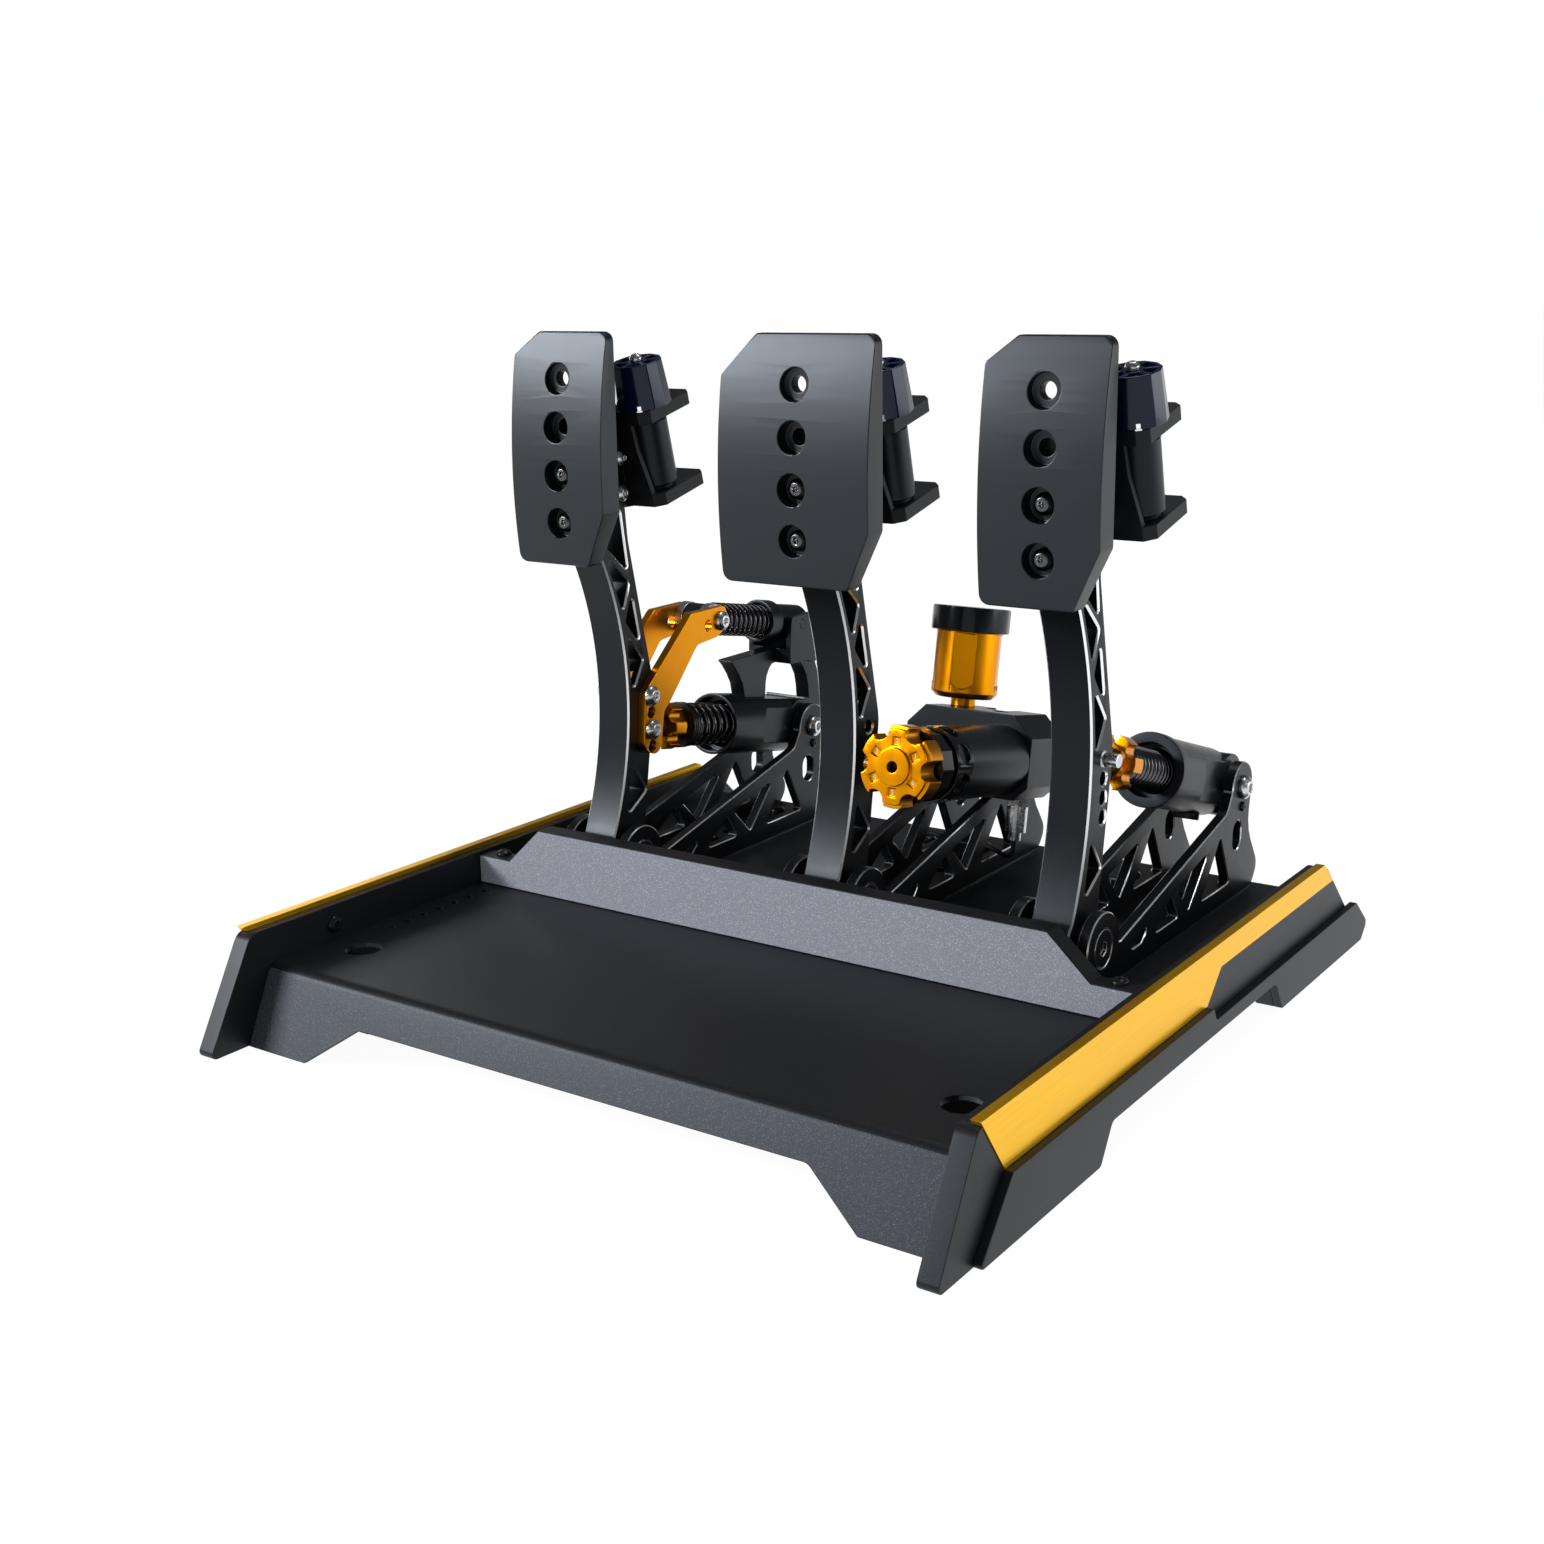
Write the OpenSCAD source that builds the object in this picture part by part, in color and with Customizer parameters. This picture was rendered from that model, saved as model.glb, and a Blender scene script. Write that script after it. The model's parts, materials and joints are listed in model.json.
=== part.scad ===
// A set of three floor pedals for driving games: clutch, brake and throttle on one folded base.
// X runs across the set, Y from the driver's side to the back and Z up, in millimetres.
// The origin lies on the floor in the middle of the set. Places along Y are given from the front edge.

/* [Base] */
// Width over the outer faces of the two side plates
base_w = 430; // [410:1:470]
// Length between the sharp corners of the side plates' front toes and of their covers' back ends
base_l = 491; // [487:1:520]
// Height of the side plates
side_h = 58.3; // [56:0.1:62]
// Thickness of a side plate
side_t = 10.3; // [8:0.1:12]
// Thickness of the lower cover on a side plate
cover_t = 4.3; // [3:0.1:6]
// Thickness of the trim that is let into a side plate
trim_t = 2; // [1.5:0.1:3]
// Width of the trim's lip on the top edge of a side plate
trim_lip_w = 5; // [3:0.5:8]
// Height of the deck's top face above the floor
deck_z = 40; // [38:0.5:42]
// Thickness of the folded sheet
sheet_t = 3; // [2:0.1:4]
// Width of the notch under the front flange, along its top
front_notch_w = 266; // [180:1:300]
// Height of the notch under the front flange
front_notch_h = 20.7; // [14:0.1:24]
// Height of the notch under the side plates
side_notch_h = 17.5; // [10:0.1:20]
// Diameter of the round holes at the front corners of the deck
deck_hole_d = 19; // [12:0.5:24]
// Distance between the base's mounting bolts across the set
mount_x = 358; // [340:1:366]
// Place of the front mounting bolts
mount_front_y = 84; // [80:1:110]
// Distance from the rear mounting bolts to the back end
mount_back = 34; // [30:1:36]
// Diameter of the mounting holes in the foot brackets
mount_hole_d = 8.5; // [5:0.1:11]

/* [Heel stop] */
// Place of the heel stop's front face
heel_y = 200.6; // [150:0.1:201]
// Height of the heel stop's top edge above the floor
heel_h = 78; // [70:0.5:80]
// Width of the heel stop's top edge between its sloping ends
heel_top_w = 317; // [260:1:330]
// Depth of the heel stop's folded return
heel_return = 12; // [8:0.5:13]
// Height of the heel stop's end tabs above the floor
heel_tab_h = 56.6; // [52:0.1:58]

/* [Pedal places] */
// Middle of the clutch module across the set
clutch_x = -134.7; // [-140:0.1:-120]
// Middle of the brake module across the set
brake_x = 15.1; // [0:0.1:20]
// Middle of the throttle module across the set
throttle_x = 148.6; // [140:0.1:150]
// Place of the pedal hinges behind the front edge
hinge_y = 236; // [234:0.5:238]
// Height of the pedal hinges above the deck
hinge_h = 21; // [19:0.5:23]
// Distance from a pedal hinge back to the rear pivot
unit_span = 174; // [170:0.5:178]
// Height of the rear pivots above the deck
unit_h = 61.4; // [59:0.1:64]

/* [Brackets] */
// Clear width between the two brackets of a module
bracket_gap = 33.4; // [32.8:0.1:35]
// Thickness of a bracket
bracket_t = 6; // [4:0.1:6.2]
// Diameter of a bracket's boss round the pedal hinge
front_boss_d = 36; // [32:0.5:40]
// Diameter of a bracket's boss round the rear pivot
rear_boss_d = 28; // [24:0.5:30]
// Height of a bracket's bottom chord
chord_h = 10.3; // [7:0.1:12]
// Height of a bracket's top chord
chord_top = 9; // [6:0.1:11]
// Diameter of the pedal hinge pin
hinge_pin_d = 10; // [8:0.1:12]
// Diameter of the hinge pin's round head
hinge_head_d = 19; // [16:0.5:22]
// Diameter of the rear pivot bolt
unit_pin_d = 8; // [6:0.1:9]

/* [Arms] */
// Width of a pedal arm
arm_w = 22; // [20:0.1:24]
// Radius of the hollow front edge of an arm
arm_bow_r = 186; // [170:1:210]
// Height of the deepest point of the bow above the floor
arm_bow_z = 150; // [145:1:155]
// Height of an arm's top end above the floor
arm_top_z = 313; // [308:0.5:320]
// Thickness of the rim round an arm's windows
arm_rim = 3.6; // [2.5:0.1:4.5]
// Distance between the truss nodes up an arm
truss_pitch = 46; // [42:1:50]
// Width of an arm's rear slot for the rod eye
slot_w = 11.2; // [10.6:0.1:12]
// Distance from the hinge back to the row of rod pin holes
pin_back = 20; // [19:0.1:20.5]
// Height of the clutch and brake rod pins above the floor
pin_z = 130; // [126:0.5:134]
// Distance between the rod pin holes
pin_pitch = 9.75; // [9.2:0.05:10]
// Diameter of the rod pins
pin_d = 7; // [5:0.1:7.6]

/* [Faces] */
// Width of the clutch and throttle faces
face_w = 62; // [50:0.5:72]
// Width of the brake face
brake_face_w = 88; // [70:0.5:100]
// Height of a face
face_l = 122; // [110:0.5:130]
// Height of a face's top edge above the floor
face_top_z = 351; // [346:0.5:356]
// Greatest thickness of a face
face_t = 14.3; // [12:0.1:16]
// Radius of a face's front
face_bow_r = 330; // [250:5:500]
// Diameter of the counterbores in a face
face_bore_d = 16; // [12:0.5:18]
// Diameter of the through holes in a face
face_hole_d = 8; // [6.4:0.1:9]
// Distance between the holes of a face
face_pitch = 25.1; // [22:0.1:26]

/* [Vibration motors] */
// Diameter of a motor's can
motor_d = 21; // [18:0.5:22]
// Distance between the two flanges of a motor bracket
motor_l = 38.4; // [36:0.1:42]
// Thickness of a motor bracket's flanges
flange_t = 7; // [4:0.1:8]
// Diameter of a motor's cap at its foot
cap_d = 30; // [26:0.5:31]
// Height of a motor's cap
cap_h = 24; // [18:0.5:26]
// Forward tilt of a motor
motor_tilt = 14; // [10:0.5:18]

/* [Spring units] */
// Diameter of the throttle cylinder
throttle_body_d = 38; // [36:0.5:40]
// Diameter of the ring at the throttle cylinder's mouth
throttle_ring_d = 40; // [38:0.5:44]
// Distance from the rear pivot to the throttle cylinder's mouth
throttle_mouth = 80.5; // [76:0.5:84]
// Outer diameter of the throttle spring
throttle_spring_d = 22; // [20:0.5:23]
// Wire of the throttle spring
throttle_wire = 2.5; // [2:0.1:2.6]
// Diameter of the clutch cylinder
clutch_body_d = 37; // [36:0.5:38]
// Distance from the rear pivot to the clutch cylinder's mouth
clutch_mouth = 77.3; // [73:0.5:80]
// Outer diameter of the clutch spring
clutch_spring_d = 26; // [23:0.5:27]
// Wire of the clutch spring
clutch_wire = 3.2; // [2.4:0.1:3.4]
// Diameter of the push rods behind the knobs
rod_d = 12; // [10:0.5:13]
// Diameter of the preload knobs on the rods
knob_d = 28.6; // [26:0.1:32]
// Width across the flats of the cylinders at their rear ends
flat_w = 30; // [26:0.5:32]

/* [Clutch links] */
// Thickness of a link
link_t = 5; // [3:0.1:5.2]
// Distance from the hinge back to the links' head bolt
head_back = 87.8; // [86:0.1:90]
// Height of the links' head bolt above the floor
head_z = 181.5; // [179:0.5:184]
// Diameter of the head bolt
head_pin_d = 8; // [6:0.1:8.5]
// Outer diameter of the upper spring
upper_spring_d = 20; // [17:0.5:20.5]
// Wire of the upper spring
upper_wire = 2.2; // [1.8:0.1:2.4]
// Height of the upper pivot above the floor
upper_z = 166; // [164:0.5:168]

/* [Brake unit] */
// Diameter of the brake's spring cylinder
brake_cyl_d = 40; // [36:0.5:41]
// Distance of the spring cylinder's axis beside the pedal
brake_offset = 36; // [35:0.5:38]
// Length of the spring cylinder
brake_cyl_l = 65; // [50:0.5:65]
// Diameter of the brake's adjuster knob
brake_knob_d = 43; // [38:0.5:44]
// Diameter of the reservoir
reservoir_d = 38; // [32:0.5:40]
// Height of the reservoir
reservoir_h = 38; // [30:0.5:44]
// Diameter of the reservoir's cap
lid_d = 44.8; // [42:0.1:48]
// Height of the reservoir's cap
lid_h = 14; // [10:0.5:18]
// Diameter of the pressure sensor
sensor_d = 12; // [9:0.5:13]

/* [Clearances] */
// Running clearance round a pin or shaft, on the radius
running = 0.05; // [0.02:0.01:0.08]
// Play of a rod eye round its pin, on the radius
eye_play = 0.8; // [0.7:0.05:0.9]
// Play of the upper rod's eye round the head bolt, on the radius
head_play = 1.5; // [1.3:0.05:1.6]
// Gap between pieces that pass each other
gap = 0.3; // [0.2:0.05:0.5]

/* [Hidden] */
$fn = 64;
large_fn = 320;

// Base, worked out from the sizes above
deck_w = base_w - 2 * side_t;
plate_x = base_w / 2;
toe_lean = 32.5;
flange_foot_y = 25;
flange_lean = 18.5;
deck_back_y = base_l - 52;
rear_flange_h = 16;
foot_len = 136;
foot_slope = 11;
rear_foot_y = base_l - 136;
trim_z = 32.5;
trim_step_z = 48;
trim_step_y = 260;
trim_proud = 0.6;
trim_front_y = 33;
trim_back_y = base_l - 54.4;
panel_z = 25;
screw_d = 5;
foot_t = 5;
foot_w = 30;
heel_screw_x = deck_w / 2 - 12;
heel_screw_y = heel_y + heel_return - 4.3;

// Places of the pedals and the rear pivots
hinge_z = deck_z + hinge_h;
unit_y = hinge_y + unit_span;
unit_z = deck_z + unit_h;
pin_y = hinge_y + pin_back;
throttle_pin_z = pin_z + 2 * pin_pitch;
rod_run = unit_y - pin_y;
low_tilt = atan2(pin_z - unit_z, rod_run);
low_len = norm([pin_z - unit_z, rod_run]);
throttle_tilt = atan2(throttle_pin_z - unit_z, rod_run);
throttle_len = norm([throttle_pin_z - unit_z, rod_run]);
bracket_out = bracket_gap / 2 + bracket_t;

// Clutch's upper unit
head_y = hinge_y + head_back;
upper_y = unit_y;
upper_tilt = atan2(head_z - upper_z, upper_y - head_y);
upper_len = norm([head_z - upper_z, upper_y - head_y]);

// Pedal faces
arm_front_y = 216.3 + hinge_y - 236;
face_seat = 6;
face_radius = 5;

// Direction of a vector, at length one
function unit(v) = v / norm(v);

// Arc of radius r in the corner at b between a and c, kept short enough for both sides
function corner_arc(a, b, c, r) =
    let (u = unit(a - b), v = unit(c - b))
    let (half = acos(max(-1, min(1, u * v))) / 2)
    let (reach = min(r / tan(half), 0.45 * norm(a - b), 0.45 * norm(c - b)))
    let (fillet = reach * tan(half), centre = b + unit(u + v) * fillet / sin(half))
    let (p = b + u * reach - centre, q = b + v * reach - centre)
    let (from = atan2(p[1], p[0]), raw = atan2(q[1], q[0]) - from)
    let (turn = raw > 180 ? raw - 360 : raw < -180 ? raw + 360 : raw)
    let (steps = max(1, ceil(abs(turn) / 18)))
    [for (k = [0 : steps]) centre + fillet * [cos(from + turn * k / steps), sin(from + turn * k / steps)]];

// Outline with every corner rounded; radii is one number or one number for each point
function rounded(pts, radii) =
    let (n = len(pts))
    [for (i = [0 : n - 1])
        let (r = is_list(radii) ? radii[i] : radii)
        each (r > 0 ? corner_arc(pts[(i + n - 1) % n], pts[i], pts[(i + 1) % n], r) : [pts[i]])];

// Outline drawn in by d on every side, for convex outlines
function drawn_in(pts, d) =
    let (n = len(pts))
    [for (i = [0 : n - 1])
        let (u = unit(pts[(i + n - 1) % n] - pts[i]), v = unit(pts[(i + 1) % n] - pts[i]))
        let (half = acos(u * v) / 2)
        pts[i] + unit(u + v) * d / sin(half)];

// Moves a piece from places along Y counted from the front to the shared frame
module at_base(x = 0) {
    translate([x, -base_l / 2, 0]) children();
}

// Plate across X from an outline of Y and Z
module plate(x, t, pts) {
    translate([x, 0, 0]) rotate([90, 0, 90]) linear_extrude(t) polygon(pts);
}

// Round bar along X between two places
module bar(x0, x1, y, z, d) {
    translate([x0, y, z]) rotate([0, 90, 0]) cylinder(d = d, h = x1 - x0);
}

// Button head with a hex socket, its seat on the XY plane
module button_head(d, h, socket) {
    difference() {
        rotate_extrude() polygon(rounded([[0, 0], [d / 2, 0], [d / 2, h * 0.5], [d * 0.3, h], [0, h]],
            [0, 0, h * 0.4, h * 0.3, 0]));
        translate([0, 0, h * 0.45]) cylinder(d = socket, h = h, $fn = 6);
    }
}

// Screw along +Z with its head above the seat and its shank below
module screw(d, head_d, head_h, shank) {
    button_head(head_d, head_h, d * 0.6);
    translate([0, 0, -shank]) cylinder(d = d, h = shank);
}

// Base pieces

// Outline of a side plate or of its cover: front and back end on the floor, then the top edge
function rail(front, top, back_top, back, nose) = [
    [front, 0], [foot_len, 0], [foot_len + foot_slope, side_notch_h],
    [rear_foot_y - foot_slope, side_notch_h], [rear_foot_y, 0], [back, 0], [back + nose, 9],
    [back_top, panel_z + 1], each top];

module side_plate(side) {
    outline = rail(0, [[base_l - 64, side_h], [toe_lean, side_h]], base_l - 29, base_l - 15, 4);
    color("#1b1c1f") at_base() mirror([side < 0 ? 1 : 0, 0, 0]) difference() {
        plate(plate_x - side_t, side_t, rounded(outline, [3, 3, 4, 4, 3, 3, 5, 2, 8, 8]));
        plate(plate_x - trim_t + trim_proud, trim_t + 1, trim_outline());
        bar(plate_x - side_t - 1, plate_x, mount_front_y + 4, deck_z + 7.6, screw_d + 2 * running);
        for (y = [mount_front_y, base_l - mount_back], dy = [-8, 8])
            bar(plate_x - side_t - 1, plate_x - 2, y + dy, 18, screw_d + 2 * running);
    }
}

function trim_outline() = [
    [trim_front_y, side_h + 2.5], [trim_front_y + 20.4, trim_z], [trim_step_y, trim_z],
    [trim_step_y + 16, trim_step_z], [trim_back_y, trim_step_z], [trim_back_y - 15, side_h + 2.5]];

module trim(side) {
    lip_x = plate_x + trim_proud - trim_lip_w;
    color("#d79a2b") at_base() mirror([side < 0 ? 1 : 0, 0, 0]) union() {
        plate(plate_x - trim_t + trim_proud, trim_t, trim_outline());
        plate(lip_x, trim_lip_w, [[trim_front_y, side_h + 2.5], [trim_front_y + 1.8, side_h],
            [trim_back_y - 12, side_h], [trim_back_y - 15, side_h + 2.5]]);
    }
}

module side_cover(side) {
    top = [[trim_step_y + 4, panel_z], [trim_step_y, trim_z - gap], [trim_front_y + 20.6, trim_z - gap]];
    outline = rail(26, top, base_l - 21, base_l - 9, 9);
    color("#17181a") at_base() mirror([side < 0 ? 1 : 0, 0, 0])
        plate(plate_x, cover_t, rounded(outline, [2, 3, 4, 4, 3, 3, 4, 3, 3, 3, 1]));
}

// Folded sheet: leaning front flange, deck and rear flange
function deck_profile() =
    let (lean = atan2(deck_z, flange_lean), thick = sheet_t / sin(lean))
    rounded([
        [flange_foot_y, 0], [flange_foot_y + flange_lean, deck_z], [deck_back_y, deck_z],
        [deck_back_y, deck_z - rear_flange_h], [deck_back_y - sheet_t, deck_z - rear_flange_h],
        [deck_back_y - sheet_t, deck_z - sheet_t],
        [flange_foot_y + thick + (deck_z - sheet_t) / tan(lean), deck_z - sheet_t],
        [flange_foot_y + thick, 0]], [0, 7, 6, 0, 0, 3, 4, 0]);

module deck_plate() {
    slope = 32;
    notch = [[-front_notch_w / 2 - slope, -1], [front_notch_w / 2 + slope, -1],
        [front_notch_w / 2, front_notch_h], [-front_notch_w / 2, front_notch_h]];
    color("#202124") at_base() difference() {
        plate(-deck_w / 2, deck_w, deck_profile());
        translate([0, 80, 0]) rotate([90, 0, 0]) linear_extrude(70) polygon(rounded(notch, [0, 0, 6, 6]));
        for (x = [-mount_x / 2, mount_x / 2])
            translate([x, mount_front_y, deck_z - 10]) cylinder(d = deck_hole_d, h = 20);
        for (side = [-1, 1], k = [0 : 6])
            translate([side * (deck_w / 2 - 13), mount_front_y + 34 + 12 * k, deck_z - 10])
                cylinder(d = 5, h = 20);
        for (x = [clutch_x, brake_x, throttle_x], k = [0 : 1])
            translate([x - bracket_out - 11, unit_y - 62 + 20 * k, deck_z - 10]) cylinder(d = 11, h = 20);
        translate([lead_route[len(lead_route) - 1][0], lead_route[len(lead_route) - 1][1], deck_z - 10])
            cylinder(d = lead_d + 7, h = 20);
        for (x = [clutch_x, brake_x, throttle_x], p = base_screw_places())
            translate([x + p[0], p[1], deck_z - 10]) cylinder(d = screw_d + 2 * running, h = 20);
        for (side = [-1, 1]) translate([side * heel_screw_x, heel_screw_y, deck_z - 10])
            cylinder(d = screw_d + 2 * running, h = 20);
    }
}

module heel_stop() {
    tab_x = deck_w / 2 - 23;
    turn = atan2(heel_h - heel_tab_h, tab_x - heel_top_w / 2);
    shift = sheet_t * tan(turn / 2);
    half = [[deck_w / 2, heel_tab_h], [tab_x, heel_tab_h], [heel_top_w / 2, heel_h]];
    inner = [[heel_top_w / 2 - shift, heel_h - sheet_t], [tab_x - shift, heel_tab_h - sheet_t],
        [deck_w / 2, heel_tab_h - sheet_t]];
    half_left = [for (k = [2 : -1 : 0]) [-half[k][0], half[k][1]]];
    inner_left = [for (k = [2 : -1 : 0]) [-inner[k][0], inner[k][1]]];
    wall = concat([[-deck_w / 2, deck_z], [deck_w / 2, deck_z]], half, half_left);
    band = concat(half, half_left, inner_left, inner);
    color("#2b2c30") at_base() difference() {
        union() {
            translate([0, heel_y + sheet_t, 0]) rotate([90, 0, 0]) linear_extrude(sheet_t) polygon(wall);
            translate([0, heel_y + heel_return, 0]) rotate([90, 0, 0])
                linear_extrude(heel_return) polygon(band);
        }
        for (side = [-1, 1]) translate([side * heel_screw_x, heel_screw_y, heel_tab_h - 10])
            cylinder(d = screw_d + 2 * running, h = 20);
    }
}

// Angle brackets inside the side plates, with the holes that bolt the set to a rig
module foot_brackets() {
    reach = deck_w / 2 - mount_x / 2 + 15;
    leg_h = 28;
    color("#232427") at_base() for (side = [0, 1], y = [mount_front_y, base_l - mount_back])
        mirror([side, 0, 0]) difference() {
            translate([deck_w / 2 - reach, y + foot_w / 2, 0]) rotate([90, 0, 0]) linear_extrude(foot_w)
                polygon(rounded([[0, 0], [reach, 0], [reach, leg_h], [reach - foot_t, leg_h],
                    [reach - foot_t, foot_t], [0, foot_t]], [0, 0, 0, 0, 4, 0]));
            translate([mount_x / 2, y, -1]) cylinder(d = mount_hole_d, h = foot_t + 2);
            for (dy = [-8, 8])
                bar(deck_w / 2 - foot_t - 1, deck_w / 2 + 1, y + dy, 18, screw_d + 2 * running);
        }
}

// Places of the screws that hold a module to the deck, across and along
function base_screw_places() = [
    for (y = [hinge_y + 30, hinge_y + 95, unit_y - 8]) [0, y],
    for (y = foot_tab_places()) [-bracket_out - foot_screw_out, y]];

function foot_tab_places() = [hinge_y + 28, unit_y - 16];

module base_screws() {
    color("#3a3b3e") at_base() {
        for (x = [clutch_x, brake_x, throttle_x], p = base_screw_places())
            translate([x + p[0], p[1], deck_z + (p[0] == 0 ? base_plate_t : foot_tab_t)])
                screw(screw_d, 9.5, 3, (p[0] == 0 ? base_plate_t : foot_tab_t) + sheet_t + 2);
        for (x = [clutch_x, brake_x, throttle_x], s = [-1, 1])
            translate([x + s * bracket_out, unit_y, unit_z - set_screw_drop]) rotate([0, s * 90, 0])
                screw(set_screw_d, 5.5, 1.8, bracket_t - 1);
        for (side = [0, 1]) mirror([side, 0, 0]) {
            translate([heel_screw_x, heel_screw_y, heel_tab_h])
                screw(screw_d, 8.4, 2.6, heel_tab_h - deck_z + sheet_t + 3);
            translate([heel_screw_x, heel_screw_y, deck_z]) difference() {
                cylinder(d = 8, h = heel_tab_h - sheet_t - deck_z);
                translate([0, 0, -1]) cylinder(d = screw_d + 2 * running, h = heel_tab_h);
            }
            translate([deck_w / 2, mount_front_y + 4, deck_z + 7.6]) rotate([0, -90, 0])
                screw(screw_d, 9, 2.6, side_t - trim_t + trim_proud);
            for (y = [mount_front_y, base_l - mount_back], dy = [-8, 8])
                translate([deck_w / 2 - foot_t, y + dy, 18]) rotate([0, -90, 0])
                    screw(screw_d, 9.5, 2.6, foot_t + side_t - 3);
        }
    }
}

// Plates between the brackets of the three modules
base_plate_t = 4;
foot_tab_t = 5;
foot_screw_out = 11;
slot_play = 2;

module module_bases() {
    front = hinge_y + 20;
    color("#1a1b1d") at_base() for (x = [clutch_x, brake_x, throttle_x]) difference() {
        translate([x - bracket_gap / 2, front, deck_z])
            cube([bracket_gap, unit_y + 14 - front, base_plate_t]);
        for (p = base_screw_places()) if (p[0] == 0)
            translate([x, p[1], deck_z - 1]) cylinder(d = screw_d + 2 * running, h = base_plate_t + 2);
        for (y = [hinge_y + 52, hinge_y + 72, hinge_y + 118, hinge_y + 138], dy = [-5, 5])
            translate([x, y + dy, deck_z - 1]) cylinder(d = 8, h = base_plate_t + 2);
    }
}

// Brackets

chord_y0 = hinge_y + 20;
chord_y1 = unit_y - 20.5;
function chord_z(y) = hinge_z - 2 + (unit_h - hinge_h - 8.4) * (y - chord_y0) / (chord_y1 - chord_y0);

function bracket_outline() = rounded([
    [hinge_y - front_boss_d / 2, deck_z], [unit_y + 20, deck_z], [unit_y + 28, deck_z + 11],
    [unit_y + 9.5, deck_z + 37], [unit_y + rear_boss_d / 2, unit_z], [unit_y - rear_boss_d / 2, unit_z],
    [chord_y1, chord_z(chord_y1)], [chord_y0, chord_z(chord_y0)], [hinge_y, hinge_z],
    [hinge_y - front_boss_d / 2, hinge_z]], [2, 8, 10, 25, 0, 0, 8, 3, 0, 0]);

// Truss windows: each corner is a share of the way to the rear pivot, on the bottom or the top chord
bracket_windows = [
    [[0.693, 0], [0.92, 0], [0.833, 1]],
    [[0.506, 1], [0.6, 0], [0.741, 1]],
    [[0.339, 0], [0.523, 0], [0.466, 1]],
    [[0.147, 0], [0.259, 0], [0.31, 1]]];

function window_corner(c) =
    let (y = hinge_y + unit_span * c[0])
    [y, c[1] == 0 ? deck_z + chord_h : chord_z(y) - chord_top];

rear_hole_y = unit_y - 5.5;
rear_hole_z = [unit_z - 28.5, unit_z - 24];
rear_hole_d = 12;
set_screw_d = 3;
set_screw_drop = 11;

module bracket(x, side) {
    x0 = side > 0 ? bracket_gap / 2 : -bracket_out;
    color("#1d1e21") at_base(x) difference() {
        union() {
            plate(x0, bracket_t, bracket_outline());
            bar(x0, x0 + bracket_t, hinge_y, hinge_z, front_boss_d);
            bar(x0, x0 + bracket_t, unit_y, unit_z, rear_boss_d);
            if (side < 0) for (y = foot_tab_places())
                translate([-bracket_out - 20, y - 10, deck_z]) cube([20.5, 20, foot_tab_t]);
        }
        for (w = bracket_windows)
            plate(x0 - 1, bracket_t + 2, rounded([for (c = w) window_corner(c)], 1.5));
        bar(x0 - 1, x0 + bracket_t + 1, hinge_y, hinge_z, hinge_pin_d + 2 * running);
        bar(side > 0 ? x0 + bracket_t - 3 : x0 - 1, side > 0 ? x0 + bracket_t + 1 : x0 + 3,
            hinge_y, hinge_z, hinge_head_d + 2 * gap);
        bar(x0 - 1, x0 + bracket_t + 1, unit_y, unit_z, unit_pin_d + 2 * running);
        for (z = rear_hole_z) bar(x0 - 1, x0 + bracket_t + 1, rear_hole_y, z, rear_hole_d);
        translate([x0 - 1, rear_hole_y - rear_hole_d / 2, rear_hole_z[0]])
            cube([bracket_t + 2, rear_hole_d, rear_hole_z[1] - rear_hole_z[0]]);
        bar(x0 - 1, x0 + bracket_t + 1, unit_y, unit_z - set_screw_drop, set_screw_d + 2 * running);
        for (y = foot_tab_places()) translate([-bracket_out - foot_screw_out, y, deck_z - 1]) {
            for (dx = [-slot_play, slot_play]) translate([dx, 0, 0])
                cylinder(d = screw_d + 1, h = foot_tab_t + 2);
            translate([-slot_play, -(screw_d + 1) / 2, 0]) cube([2 * slot_play, screw_d + 1, foot_tab_t + 2]);
        }
    }
}

// Hinge pins, their collars and the rear pivot bolts of the three modules
module hinge_bolts() {
    washer_in = arm_w / 2 + gap;
    color("#c9ccd0") for (x = [clutch_x, brake_x, throttle_x]) at_base(x) {
        difference() {
            union() {
                bar(-bracket_out, bracket_out, hinge_y, hinge_z, hinge_pin_d);
                for (s = [-1, 1]) translate([s * (bracket_out - 1.5), hinge_y, hinge_z]) rotate([0, 90, 0])
                    cylinder(d = hinge_head_d, h = 3, center = true);
            }
            for (s = [-1, 1]) translate([s * bracket_out, hinge_y, hinge_z]) rotate([0, 90, 0])
                cylinder(d = 8, h = 4, center = true, $fn = 6);
        }
        for (s = [0, 1]) mirror([s, 0, 0]) difference() {
            bar(washer_in, bracket_gap / 2, hinge_y, hinge_z, 16);
            bar(washer_in - 1, bracket_gap / 2 + 1, hinge_y, hinge_z, hinge_pin_d + 2 * running);
        }
        bar(-bracket_out, bracket_out, unit_y, unit_z, unit_pin_d);
        for (s = [-1, 1]) translate([s * bracket_out, unit_y, unit_z]) rotate([0, s * 90, 0])
            button_head(13, 4.5, 5);
    }
}

// Pedal arms

function arm_rear_y(z) = hinge_y + lookup(z, [[66, 17], [90, 20.5], [112, 24], [152, 30.5], [190, 22],
    [238, 11.5], [285, 7], [330, 7]]);
function arm_edge_y(z) =
    max(arm_front_y, arm_bow_y + sqrt(max(0, arm_bow_r * arm_bow_r - pow(z - arm_bow_z, 2))));
arm_bow_y = hinge_y + 6 - arm_bow_r;

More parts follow.
